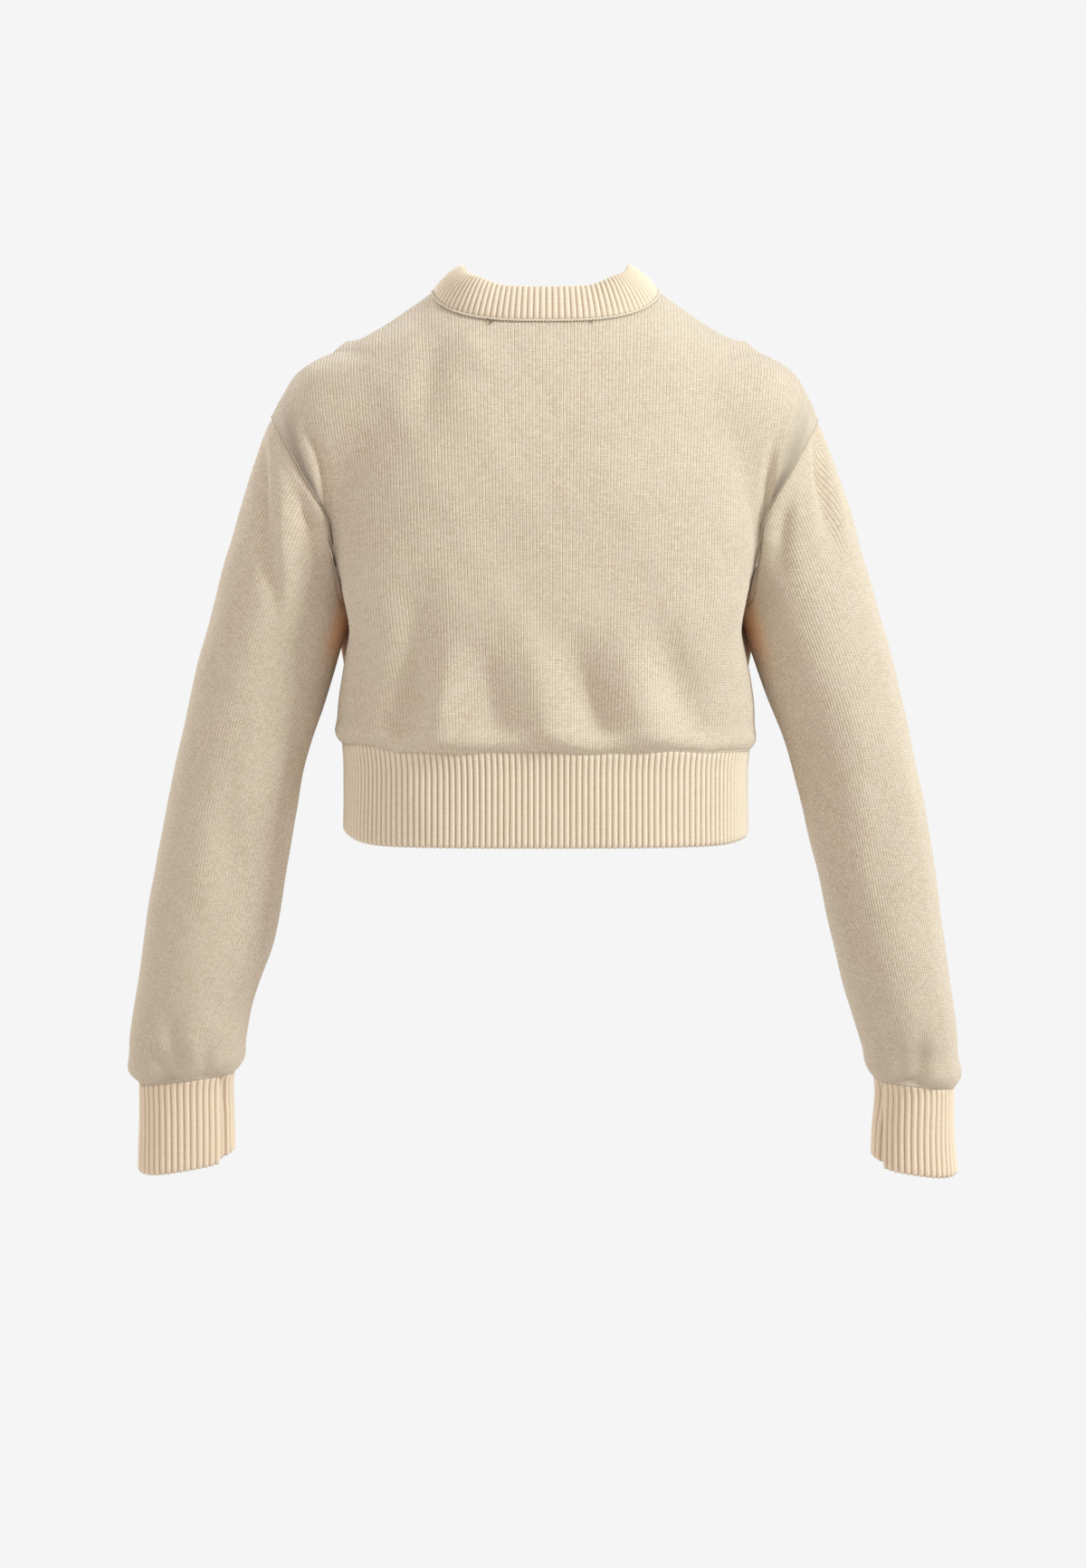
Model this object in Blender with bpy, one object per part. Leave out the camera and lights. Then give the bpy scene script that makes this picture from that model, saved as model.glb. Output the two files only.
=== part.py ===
"""Cropped knit sweater in its worn form: nine knitted pieces as hollow cloth walls.

Metres, +Z up, front towards -Y, the wearer's left towards +X. The origin lies midway between
the two side neck points. One smooth outer form, a torso joined softly to two sleeves, carries
every piece. Pieces share their seam points and are trimmed by half the seam gap on each side.
"""
import math

import bpy
import numpy as np

# ---- cloth ----
JERSEY_WALL = 0.0025
RIB_WALL = 0.0030
SEAM_GAP = 0.0003

# ---- body ----
NECK_HALF_WIDTH = 0.0865
BACK_NECK_DROP = 0.0270
FRONT_NECK_DROP = 0.0850
BACK_NECK_ROUNDNESS = 3.0
FRONT_NECK_ROUNDNESS = 2.2
RIB_TOP = -0.3520
HEM = -0.4235

# ---- where the body and the sleeves part ----
PARTING_Z = -0.2420
PARTING_MARGIN = 0.0030
ARMHOLE_MIDDLE = -0.1600

# ---- neck rib, folded double ----
COLLAR_WALL = 0.0046
COLLAR_PROUD = 0.0010
COLLAR_BELLY = 0.0015
NECK_CENTRE_Y = -0.012

# ---- grid of each piece ----
NECK_COLUMNS = 12
SHOULDER_COLUMNS = 10
ARMHOLE_ROWS = 10
SIDE_ROWS = 6
SLEEVE_ROWS = 19
RIB_ROWS = 3
CUFF_ROWS = 3
FINE = 400
SETTLE_ROUNDS = 10
EDGE_HOLD = 0.10
EDGE_FREE = 0.60
LEVEL_COLUMNS = 7
ALIKE = 0.5

# ---- reach of the lines that look for the outer form, from well inside it ----
NECK_REACH = 0.16
SHOULDER_DEPTH = 0.13
SHOULDER_REACH = 0.16
ARMHOLE_REACH = 0.13
SIDE_START = 0.05
SIDE_REACH = 0.20
SECTION_REACH = 0.30
HALVINGS = 40

WOOL = (0.74, 0.62, 0.46, 1.0)
WOOL_ROUGHNESS = 0.9

# Torso sections: half width, depth to the back and to the front, squareness, and how far
# the hanging arm presses the side in.
TORSO_COLUMNS = ("z", "half_width", "back", "front", "power", "side_dent")
TORSO = [
    (0.040, 0.040, 0.030, 0.025, 2.0, 0.000),
    (0.015, 0.064, 0.044, 0.036, 2.0, 0.000),
    (0.000, 0.0865, 0.053, 0.044, 2.0, 0.000),
    (-0.0245, 0.122, 0.066, 0.058, 2.1, 0.000),
    (-0.047, 0.156, 0.078, 0.072, 2.2, 0.000),
    (-0.080, 0.170, 0.091, 0.090, 2.3, 0.000),
    (-0.120, 0.171, 0.101, 0.104, 2.4, 0.002),
    (-0.170, 0.172, 0.107, 0.113, 2.7, 0.018),
    (-0.235, 0.170, 0.107, 0.114, 3.0, 0.025),
    (-0.275, 0.165, 0.106, 0.112, 2.8, 0.012),
    (-0.310, 0.161, 0.105, 0.110, 2.6, 0.002),
    (-0.335, 0.161, 0.104, 0.107, 2.6, 0.000),
    (-0.352, 0.157, 0.100, 0.101, 2.6, 0.000),
    (-0.370, 0.1555, 0.098, 0.097, 2.6, 0.000),
    (-0.430, 0.1560, 0.098, 0.096, 2.6, 0.000),
]
DENT_REACH = 0.045

# Sleeve sections: outer and inner edge from the middle of the garment, half depth front to
# back, the middle of that depth, and squareness. The top rows round over the shoulder.
SLEEVE_COLUMNS = ("z", "outer", "inner", "half_depth", "middle_y", "power")
SLEEVE_LEFT = [
    (-0.042, 0.156, 0.146, 0.005, 0.000, 2.0),
    (-0.047, 0.168, 0.130, 0.022, 0.000, 2.0),
    (-0.058, 0.185, 0.112, 0.040, 0.000, 2.0),
    (-0.080, 0.2030, 0.100, 0.054, 0.000, 2.0),
    (-0.1085, 0.2160, 0.103, 0.060, 0.000, 2.0),
    (-0.1645, 0.2345, 0.122, 0.061, 0.000, 2.0),
    (-0.235, 0.2545, 0.147, 0.058, 0.000, 2.0),
    (-0.290, 0.2695, 0.163, 0.056, -0.002, 2.1),
    (-0.3605, 0.2863, 0.1855, 0.054, -0.006, 2.1),
    (-0.4305, 0.3010, 0.1988, 0.053, -0.012, 2.1),
    (-0.5005, 0.3129, 0.2121, 0.052, -0.018, 2.1),
    (-0.5500, 0.3200, 0.2290, 0.048, -0.022, 2.1),
    (-0.5850, 0.3255, 0.2373, 0.044, -0.024, 2.1),
    (-0.6000, 0.3245, 0.2420, 0.036, -0.025, 2.1),
    (-0.6130, 0.3180, 0.2450, 0.028, -0.026, 2.1),
    (-0.6450, 0.3185, 0.2440, 0.025, -0.027, 2.1),
    (-0.7000, 0.3195, 0.2435, 0.024, -0.028, 2.1),
]
SLEEVE_RIGHT = [
    (-0.042, 0.156, 0.146, 0.005, 0.000, 2.0),
    (-0.047, 0.168, 0.130, 0.022, 0.000, 2.0),
    (-0.058, 0.185, 0.112, 0.040, 0.000, 2.0),
    (-0.080, 0.2020, 0.100, 0.054, 0.000, 2.0),
    (-0.1085, 0.2130, 0.103, 0.060, 0.000, 2.0),
    (-0.1645, 0.2330, 0.122, 0.061, 0.000, 2.0),
    (-0.235, 0.2541, 0.147, 0.059, 0.000, 2.0),
    (-0.290, 0.2695, 0.164, 0.058, -0.002, 2.1),
    (-0.3605, 0.2863, 0.1897, 0.056, -0.006, 2.1),
    (-0.4305, 0.2996, 0.2072, 0.055, -0.012, 2.1),
    (-0.5005, 0.3108, 0.2240, 0.054, -0.018, 2.1),
    (-0.5500, 0.3175, 0.2370, 0.051, -0.022, 2.1),
    (-0.5850, 0.3213, 0.2478, 0.046, -0.024, 2.1),
    (-0.6050, 0.3215, 0.2560, 0.040, -0.025, 2.1),
    (-0.6200, 0.3195, 0.2580, 0.034, -0.026, 2.1),
    (-0.6500, 0.3200, 0.2565, 0.032, -0.027, 2.1),
    (-0.7000, 0.3240, 0.2550, 0.031, -0.028, 2.1),
]

# Armhole seam seen from behind: its distance from the middle at each height, and how far it
# is drawn in under the arm, between front and back.
ARMHOLE_COLUMNS = ("z", "x", "drawn_in")
ARMHOLE = [
    (-0.050, 0.2350, 0.000),
    (-0.096, 0.2120, 0.000),
    (-0.140, 0.1860, 0.000),
    (-0.178, 0.1655, 0.002),
    (-0.210, 0.1620, 0.010),
    (-0.235, 0.1610, 0.014),
    (-0.270, 0.1610, 0.014),
]
DRAW_REACH = 0.030

# Width of the soft join between torso and sleeve. It tightens to a crease at the armpit.
JOIN_COLUMNS = ("z", "width")
JOIN = [(0.000, 0.030), (-0.100, 0.030), (-0.140, 0.020), (-0.180, 0.011), (-0.235, 0.007)]

# Neck rib round its seam: angle from the centre back, height, and how many degrees it
# stands off the slope of the body below it.
COLLAR_COLUMNS = ("angle", "height", "stand")
COLLAR = [
    (0, 0.0295, 7),
    (45, 0.0295, 8),
    (90, 0.0300, 10),
    (135, 0.0295, 8),
    (180, 0.0290, 6),
]

# Section through the neck rib: share of its height, and distance out from the seam line.
# It goes up the outside, over the fold and down the inside to the jersey's edge.
COLLAR_PROFILE = [
    (0.00, COLLAR_PROUD),
    (0.33, COLLAR_PROUD + COLLAR_BELLY),
    (0.70, COLLAR_PROUD + COLLAR_BELLY),
    (0.94, COLLAR_PROUD * 0.9),
    (1.00, COLLAR_PROUD - COLLAR_WALL / 2),
    (0.94, COLLAR_PROUD * 0.9 - COLLAR_WALL),
    (0.70, COLLAR_PROUD + COLLAR_BELLY - COLLAR_WALL),
    (0.33, COLLAR_PROUD + COLLAR_BELLY - COLLAR_WALL),
    (0.00, COLLAR_PROUD - COLLAR_WALL),
    (0.00, -JERSEY_WALL),
    (0.00, 0.0),
]

# Cuffs: the middle height of the cuff's top and bottom edges, and their tilt.
CUFFS = {
    "left": {"top": -0.6080, "bottom": -0.6770, "tilt": 0.24},
    "right": {"top": -0.6140, "bottom": -0.6840, "tilt": 0.14},
}

# Largest folds of the body, each from its top through its middle to its foot: below zero
# is a trough. "peak" is where along it the fold is deepest.
FOLD_COLUMNS = ("x_top", "z_top", "x_mid", "z_mid", "x_low", "z_low", "width", "depth", "peak")
BACK_FOLDS = [
    (0.100, -0.215, 0.100, -0.290, 0.120, -0.350, 0.017, -0.0080, 0.6),
    (0.046, -0.265, 0.042, -0.310, 0.036, -0.350, 0.014, -0.0045, 0.6),
    (-0.016, -0.255, -0.032, -0.309, -0.043, -0.350, 0.014, -0.0060, 0.6),
    (-0.084, -0.245, -0.099, -0.296, -0.134, -0.352, 0.016, -0.0055, 0.6),
    (0.072, -0.255, 0.078, -0.305, 0.084, -0.350, 0.013, 0.0045, 0.7),
    (0.016, -0.235, 0.003, -0.310, -0.005, -0.352, 0.016, 0.0045, 0.7),
    (-0.054, -0.235, -0.070, -0.312, -0.089, -0.352, 0.016, 0.0050, 0.7),
]
FRONT_FOLDS = [
    (0.108, -0.205, 0.102, -0.285, 0.112, -0.350, 0.017, -0.0070, 0.6),
    (0.030, -0.250, 0.034, -0.305, 0.045, -0.350, 0.015, -0.0050, 0.6),
    (-0.040, -0.240, -0.038, -0.300, -0.030, -0.350, 0.016, -0.0055, 0.6),
    (-0.105, -0.215, -0.096, -0.290, -0.110, -0.352, 0.016, -0.0065, 0.6),
    (0.070, -0.240, 0.068, -0.300, 0.078, -0.352, 0.015, 0.0045, 0.7),
    (-0.004, -0.250, -0.002, -0.305, 0.008, -0.352, 0.016, 0.0040, 0.7),
    (-0.072, -0.235, -0.068, -0.300, -0.070, -0.352, 0.015, 0.0045, 0.7),
]


# ---------------------------------------------------------------- tables and curves
def column(table, names, name):
    """Heights and one named column of a table, both rising with height."""
    rows = sorted(table)
    keys = np.array([row[0] for row in rows])
    return keys, np.array([row[names.index(name)] for row in rows])


def smooth(table, names, name, at):
    """A named column read at any key, on a curve that never swings past its rows."""
    keys, values = column(table, names, name)
    gaps = np.diff(keys)
    rises = np.diff(values) / gaps
    slopes = np.zeros(len(keys))
    same_way = rises[:-1] * rises[1:] > 0
    mean = (rises[:-1] * gaps[1:] + rises[1:] * gaps[:-1]) / (gaps[:-1] + gaps[1:])
    least = 2.0 * np.minimum(np.abs(rises[:-1]), np.abs(rises[1:]))
    slopes[1:-1] = np.where(same_way, np.sign(mean) * np.minimum(np.abs(mean), least), 0.0)
    slopes[0], slopes[-1] = rises[0], rises[-1]
    at = np.clip(at, keys[0], keys[-1])
    i = np.clip(np.searchsorted(keys, at) - 1, 0, len(gaps) - 1)
    t = (at - keys[i]) / gaps[i]
    start = (1 + 2 * t) * (1 - t) ** 2 * values[i] + t * (1 - t) ** 2 * gaps[i] * slopes[i]
    end = t * t * (3 - 2 * t) * values[i + 1] - t * t * (1 - t) * gaps[i] * slopes[i + 1]
    return start + end


def along(points):
    """Distance along a polyline, as a fraction of its length."""
    steps = np.linalg.norm(np.diff(points, axis=0), axis=1)
    run = np.concatenate([[0.0], np.cumsum(steps)])
    return run / run[-1]


def at_fractions(points, fractions):
    """Points of a polyline at given fractions of its length."""
    run = along(points)
    return np.stack([np.interp(fractions, run, points[:, k]) for k in range(3)], axis=1)


def evenly(points, count):
    return at_fractions(points, np.linspace(0.0, 1.0, count + 1))


# ---------------------------------------------------------------- the outer form
def section_distance(x, y, half_x, half_y, power):
    """Distance from a rounded section, measured towards its middle."""
    reach = (np.abs(x / half_x) ** power + np.abs(y / half_y) ** power) ** (1.0 / power)
    return np.hypot(x, y) * (1.0 - 1.0 / np.maximum(reach, 1e-6))


def torso(p):
    x, y, z = p[:, 0], p[:, 1], p[:, 2]
    dent = smooth(TORSO, TORSO_COLUMNS, "side_dent", z) * np.exp(-((y / DENT_REACH) ** 2))
    half_width = smooth(TORSO, TORSO_COLUMNS, "half_width", z) - dent
    back = smooth(TORSO, TORSO_COLUMNS, "back", z)
    front = smooth(TORSO, TORSO_COLUMNS, "front", z)
    power = smooth(TORSO, TORSO_COLUMNS, "power", z)
    return section_distance(x, y, half_width, np.where(y > 0, back, front), power)


def sleeve(p, table, side):
    x, y, z = p[:, 0] * side, p[:, 1], p[:, 2]
    outer = smooth(table, SLEEVE_COLUMNS, "outer", z)
    inner = smooth(table, SLEEVE_COLUMNS, "inner", z)
    depth = smooth(table, SLEEVE_COLUMNS, "half_depth", z)
    middle_y = smooth(table, SLEEVE_COLUMNS, "middle_y", z)
    power = smooth(table, SLEEVE_COLUMNS, "power", z)
    over_top = np.maximum(0.0, z - table[0][0])
    x = x - (outer + inner) / 2
    return section_distance(x, y - middle_y, (outer - inner) / 2, depth, power) + over_top


def soft_join(a, b, width):
    """The nearer of two forms, with the hollow between them filled over a width."""
    mix = np.clip(0.5 + 0.5 * (b - a) / width, 0.0, 1.0)
    return b * (1 - mix) + a * mix - width * mix * (1 - mix)


SIDES = {"left": (SLEEVE_LEFT, 1.0), "right": (SLEEVE_RIGHT, -1.0)}


def armhole_x(y, z):
    """Distance from the middle of the garment to the surface that the armhole seam lies in."""
    drawn_in = smooth(ARMHOLE, ARMHOLE_COLUMNS, "drawn_in", z) * np.exp(-((y / DRAW_REACH) ** 2))
    return smooth(ARMHOLE, ARMHOLE_COLUMNS, "x", z) - drawn_in


def body_form(p):
    """The torso with both sleeves joined on, above the underarms only."""
    width = smooth(JOIN, JOIN_COLUMNS, "width", p[:, 2])
    apart = 2.0 * np.maximum(0.0, PARTING_Z - p[:, 2])
    left = sleeve(p, SLEEVE_LEFT, 1.0) + apart
    right = sleeve(p, SLEEVE_RIGHT, -1.0) + apart
    return soft_join(soft_join(torso(p), left, width), right, width)


def sleeve_form(side):
    """One sleeve with the torso joined on, above the underarm only."""
    table, sign = SIDES[side]

    def form(p):
        width = smooth(JOIN, JOIN_COLUMNS, "width", p[:, 2])
        apart = 2.0 * np.maximum(0.0, PARTING_Z - p[:, 2])
        past_seam = sign * p[:, 0] - armhole_x(p[:, 1], p[:, 2])
        apart += np.maximum(0.0, past_seam - PARTING_MARGIN)
        return soft_join(torso(p) + apart, sleeve(p, table, sign), width)

    return form


def slope(form, p, step=2e-5):
    """Gradient of a form, by small steps along each axis."""
    parts = []
    for k in range(3):
        shift = np.zeros(3)
        shift[k] = step
        parts.append((form(p + shift) - form(p - shift)) / (2 * step))
    return np.stack(parts, axis=1)


def outward(form, p):
    g = slope(form, p)
    return g / np.linalg.norm(g, axis=1, keepdims=True)


def onto(form, p, rounds=6):
    """Move points along the form's slope until they lie on it."""
    for _ in range(rounds):
        g = slope(form, p)
        p = p - (form(p) / np.maximum((g * g).sum(axis=1), 1e-9))[:, None] * g
    return p


def crossing(form, inside, outside):
    """Where straight lines from inside points to outside points cross the form."""
    low, high = np.zeros(len(inside)), np.ones(len(inside))
    for _ in range(HALVINGS):
        mid = (low + high) / 2
        p = inside + (outside - inside) * mid[:, None]
        is_in = form(p) < 0
        low, high = np.where(is_in, mid, low), np.where(is_in, high, mid)
    return inside + (outside - inside) * low[:, None]


# ---------------------------------------------------------------- seams
def armhole_half(side, face):
    """Half of the armhole seam, from the shoulder tip to the underarm; face is 1 at the back."""
    sign = SIDES[side][1]
    form = sleeve_form(side)
    angle = np.linspace(0.0, math.pi, FINE)
    near, far = np.zeros(FINE), np.full(FINE, ARMHOLE_REACH)
    for _ in range(HALVINGS):
        reach = (near + far) / 2
        y = face * reach * np.sin(angle)
        z = ARMHOLE_MIDDLE + reach * np.cos(angle)
        curve = np.stack([sign * armhole_x(y, z), y, z], axis=1)
        is_in = form(curve) < 0
        near, far = np.where(is_in, reach, near), np.where(is_in, far, reach)
    curve[[0, -1], 1] = 0.0
    return evenly(curve, ARMHOLE_ROWS)


def side_seam(side):
    """Side of the body from the underarm down to the rib."""
    sign = SIDES[side][1]
    start = armhole_half(side, 1)[-1]
    z = np.linspace(start[2], RIB_TOP, FINE)
    inner = np.stack([np.full(FINE, SIDE_START * sign), 0 * z, z], axis=1)
    curve = crossing(torso, inner, inner + np.array([SIDE_REACH * sign, 0.0, 0.0]))
    curve[0] = start
    return evenly(curve, SIDE_ROWS)


def rib_side(side, rows):
    sign = SIDES[side][1]
    z = np.linspace(RIB_TOP, HEM, rows + 1)
    inner = np.stack([np.full(rows + 1, SIDE_START * sign), 0 * z, z], axis=1)
    return crossing(torso, inner, inner + np.array([SIDE_REACH * sign, 0.0, 0.0]))


def neck_half(face):
    """Neck seam of one panel, from the right side neck point to the left."""
    drop = BACK_NECK_DROP if face > 0 else FRONT_NECK_DROP
    angle = np.linspace(-math.pi / 2, math.pi / 2, FINE)
    x = NECK_HALF_WIDTH * np.sin(angle)
    across = np.abs(x / NECK_HALF_WIDTH)
    roundness = BACK_NECK_ROUNDNESS if face > 0 else FRONT_NECK_ROUNDNESS
    z = -drop * np.sqrt(np.maximum(0.0, 1.0 - across**roundness))
    inner = np.stack([x, 0 * x, z], axis=1)
    curve = crossing(body_form, inner, inner + np.array([0.0, NECK_REACH * face, 0.0]))
    curve[0] = (-NECK_HALF_WIDTH, 0.0, 0.0)
    curve[-1] = (NECK_HALF_WIDTH, 0.0, 0.0)
    return evenly(curve, NECK_COLUMNS)


def shoulder_seam(side):
    """Shoulder ridge from the side neck point out to the shoulder tip."""
    sign = SIDES[side][1]
    tip = armhole_half(side, 1)[0]
    x = np.linspace(NECK_HALF_WIDTH, abs(tip[0]), FINE) * sign
    low = np.stack([x, 0 * x, np.full(FINE, -SHOULDER_DEPTH)], axis=1)
    curve = crossing(body_form, low, low + np.array([0.0, 0.0, SHOULDER_REACH]))
    curve[0] = (sign * NECK_HALF_WIDTH, 0.0, 0.0)
    curve[-1] = tip
    return evenly(curve, SHOULDER_COLUMNS)


def level_half(face, z):
    """Half of the torso's section at a height, from the right side to the left."""
    angle = np.linspace(-math.pi / 2, math.pi / 2, FINE)
    inner = np.stack([0 * angle, 0 * angle, np.full(FINE, z)], axis=1)
    ray = np.stack([np.sin(angle), face * np.cos(angle), 0 * angle], axis=1)
    return crossing(torso, inner, inner + SECTION_REACH * ray)


# ---------------------------------------------------------------- panels
def sunk(heights):
    """How far down each point of a column lies, from 0 at its top to 1 at its foot."""
    depth = np.maximum.accumulate(heights[0] - heights)
    return depth / depth[-1]


def settle(grid, form):
    """Even out a grid between its edges, on the form.

    Points share each row's length evenly. Down a column they are even too, except that near
    the sides they keep level with the seam beside them.
    """
    rows, cols = grid.shape[:2]
    even = np.linspace(0.0, 1.0, cols)
    down = np.linspace(0.0, 1.0, rows)
    top, foot = along(grid[0]), along(grid[-1])
    fade = np.clip((down - EDGE_HOLD) / (EDGE_FREE - EDGE_HOLD), 0.0, 1.0)
    near_top = 1.0 - fade * fade * (3.0 - 2.0 * fade)
    near_foot = near_top[::-1]
    for _ in range(SETTLE_ROUNDS):
        flat = onto(form, grid[1:-1, 1:-1].reshape(-1, 3), 2)
        grid[1:-1, 1:-1] = flat.reshape(rows - 2, cols - 2, 3)
        for r in range(1, rows - 1):
            share = even + near_top[r] * (top - even) + near_foot[r] * (foot - even)
            grid[r, 1:-1] = at_fractions(grid[r], share)[1:-1]
        for c in range(1, cols - 1):
            edge = 0 if c < cols / 2 else cols - 1
            hold = max(0.0, 1.0 - abs(c - edge) / LEVEL_COLUMNS) ** 2
            level = np.interp(sunk(grid[:, edge, 2]), sunk(grid[:, c, 2]), along(grid[:, c]))
            share = hold * level + (1 - hold) * down
            grid[1:-1, c] = at_fractions(grid[:, c], share)[1:-1]
    flat = onto(form, grid[1:-1, 1:-1].reshape(-1, 3))
    grid[1:-1, 1:-1] = flat.reshape(rows - 2, cols - 2, 3)
    return grid


def patch(top, foot, right, left):
    """A first grid between four edges; rows run from the right edge to the left one."""
    rows, cols = len(right), len(top)
    v = np.linspace(0.0, 1.0, rows)[:, None, None]
    u = np.linspace(0.0, 1.0, cols)[None, :, None]
    across = (1 - u) * right[:, None] + u * left[:, None]
    down = (1 - v) * top[None] + v * foot[None]
    upper = (1 - u) * top[0] + u * top[-1]
    lower = (1 - u) * foot[0] + u * foot[-1]
    return across + down - (1 - v) * upper - v * lower


def panel_grid(face):
    """Back or front panel, from neck and shoulders down to the rib."""
    neck = neck_half(face)
    top = np.concatenate([shoulder_seam("right")[:0:-1], neck, shoulder_seam("left")[1:]])
    foot = evenly(level_half(face, RIB_TOP), len(top) - 1)
    edges = {}
    for side in SIDES:
        edges[side] = np.concatenate([armhole_half(side, face), side_seam(side)[1:]])
        foot[0 if side == "right" else -1] = edges[side][-1]
    return settle(patch(top, foot, edges["right"], edges["left"]), body_form)


def rib_grid(face, cols):
    """Hem rib of one panel, straight down from the panel's lowest course."""
    rows = []
    for i, z in enumerate(np.linspace(RIB_TOP, HEM, RIB_ROWS + 1)):
        row = evenly(level_half(face, z), cols)
        row[0] = rib_side("right", RIB_ROWS)[i]
        row[-1] = rib_side("left", RIB_ROWS)[i]
        rows.append(row)
    return np.array(rows)


def cuff_ring(side, middle_z, tilt):
    """A closed ring round the sleeve, from its outer edge over the back to the inside."""
    table, sign = SIDES[side]
    halves = []
    for start in (0.0, math.pi):
        angle = np.linspace(start, start + math.pi, FINE)
        z = np.full(FINE, middle_z)
        for _ in range(6):
            outer = smooth(table, SLEEVE_COLUMNS, "outer", z)
            inner = smooth(table, SLEEVE_COLUMNS, "inner", z)
            depth = smooth(table, SLEEVE_COLUMNS, "half_depth", z)
            middle_y = smooth(table, SLEEVE_COLUMNS, "middle_y", z)
            half = (outer - inner) / 2
            x = np.cos(angle) * half
            z = middle_z - tilt * x
        p = np.stack([sign * (x + inner + half), middle_y + depth * np.sin(angle), z], axis=1)
        halves.append(evenly(onto(lambda q: sleeve(q, table, sign), p), ARMHOLE_ROWS))
    return np.concatenate([halves[0], halves[1][1:]])


def sleeve_grid(side):
    """Sleeve as a tube from the armhole to the cuff; the first and last columns coincide."""
    back, front = armhole_half(side, 1), armhole_half(side, -1)
    loop = np.concatenate([back, front[-2::-1]])
    cuff = cuff_ring(side, CUFFS[side]["top"], CUFFS[side]["tilt"])
    t = np.linspace(0.0, 1.0, SLEEVE_ROWS + 1)[:, None, None]
    grid = (1 - t) * loop[None] + t * cuff[None]
    form = sleeve_form(side)
    rows, cols = grid.shape[:2]
    inside = slice(1, rows - 1)
    for _ in range(SETTLE_ROUNDS):
        flat = onto(form, grid[inside].reshape(-1, 3), 2)
        grid[inside] = flat.reshape(rows - 2, cols, 3)
        for c in range(cols):
            grid[:, c] = evenly(grid[:, c], rows - 1)
        half = (cols - 1) // 2
        for r in range(1, rows - 1):
            first = evenly(grid[r, :half + 1], half)
            second = evenly(grid[r, half:], half)
            grid[r] = np.concatenate([first, second[1:]])
    flat = onto(form, grid[inside].reshape(-1, 3))
    grid[inside] = flat.reshape(rows - 2, cols, 3)
    grid[:, -1] = grid[:, 0]
    return grid


def cuff_grid(side):
    cuff = CUFFS[side]
    heights = np.linspace(cuff["top"], cuff["bottom"], CUFF_ROWS + 1)
    return np.array([cuff_ring(side, z, cuff["tilt"]) for z in heights])


# ---------------------------------------------------------------- folds
def fold_push(grid, folds):
    """How far each point of a body grid moves outwards for the folds of its table."""
    points = grid.reshape(-1, 3)[:, [0, 2]]
    push = np.zeros(len(points))
    for row in folds:
        fold = dict(zip(FOLD_COLUMNS, row))
        path = [np.array([fold["x_" + n], fold["z_" + n]]) for n in ("top", "mid", "low")]
        nearest = np.full(len(points), 1e9)
        place = np.zeros(len(points))
        for part in (0, 1):
            line = path[part + 1] - path[part]
            t = np.clip((points - path[part]) @ line / (line @ line), 0.0, 1.0)
            gap = np.linalg.norm(points - path[part] - t[:, None] * line, axis=1)
            closer = gap < nearest
            nearest = np.where(closer, gap, nearest)
            place = np.where(closer, (part + t) / 2, place)
        rise, fall = 2 * fold["peak"], 2 * (1 - fold["peak"])
        top = fold["peak"] ** rise * (1 - fold["peak"]) ** fall
        strength = place**rise * (1 - place) ** fall / top
        push += fold["depth"] * strength * np.exp(-((nearest / fold["width"]) ** 2))
    return push.reshape(grid.shape[:2])


# ---------------------------------------------------------------- walls
def seam_trim(edge_points, edge_normals, towards):
    """Half a seam gap across a seam, in the surface and towards a panel's own inside."""
    across = np.cross(np.gradient(edge_points, axis=0), edge_normals)
    across /= np.linalg.norm(across, axis=1, keepdims=True)
    for end, beside in ((0, 1), (-1, -2)):
        if across[end] @ across[beside] < ALIKE:
            across[end] = across[beside]
    flip = np.sign((across * towards).sum())
    return across * flip * SEAM_GAP / 2


def edge_trim(points, normals, towards, corners):
    """Trim of a whole edge; at a corner the trims of both of its seams add up."""
    total = np.zeros_like(points)
    ends = [0, *corners, len(points) - 1]
    for start, end in zip(ends[:-1], ends[1:]):
        part = slice(start, end + 1)
        total[part] += seam_trim(points[part], normals[part], towards[part])
    return total


def trimmed(grid, normals, seams):
    """The grid with half a seam gap taken off its seams.

    seams names the edges to trim, each with the places of the corners along it.
    """
    moved = grid.copy()
    if "top" in seams:
        moved[0] += edge_trim(grid[0], normals[0], grid[1] - grid[0], seams["top"])
    if "foot" in seams:
        moved[-1] += edge_trim(grid[-1], normals[-1], grid[-2] - grid[-1], seams["foot"])
    if "sides" in seams:
        for c, inner in ((0, 1), (-1, -2)):
            towards = grid[:, inner] - grid[:, c]
            moved[:, c] += edge_trim(grid[:, c], normals[:, c], towards, seams["sides"])
    return moved


def split(vertices, quad):
    """A quad as two triangles, cut along its shorter diagonal."""
    a, b, c, d = quad
    if np.linalg.norm(vertices[a] - vertices[c]) <= np.linalg.norm(vertices[b] - vertices[d]):
        return [(a, b, c), (a, c, d)]
    return [(b, c, d), (b, d, a)]


def split_edge(vertices, outer_a, outer_b, inner_b, inner_a):
    """An edge face as two triangles, cut the same way on both sides of a seam."""
    a, b = vertices[outer_a], vertices[outer_b]
    level = abs(a[2] - b[2]) < SEAM_GAP
    if (a[0] < b[0]) if level else (a[2] < b[2]):
        return [(outer_a, outer_b, inner_b), (outer_a, inner_b, inner_a)]
    return [(outer_b, inner_b, inner_a), (outer_b, inner_a, outer_a)]


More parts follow.
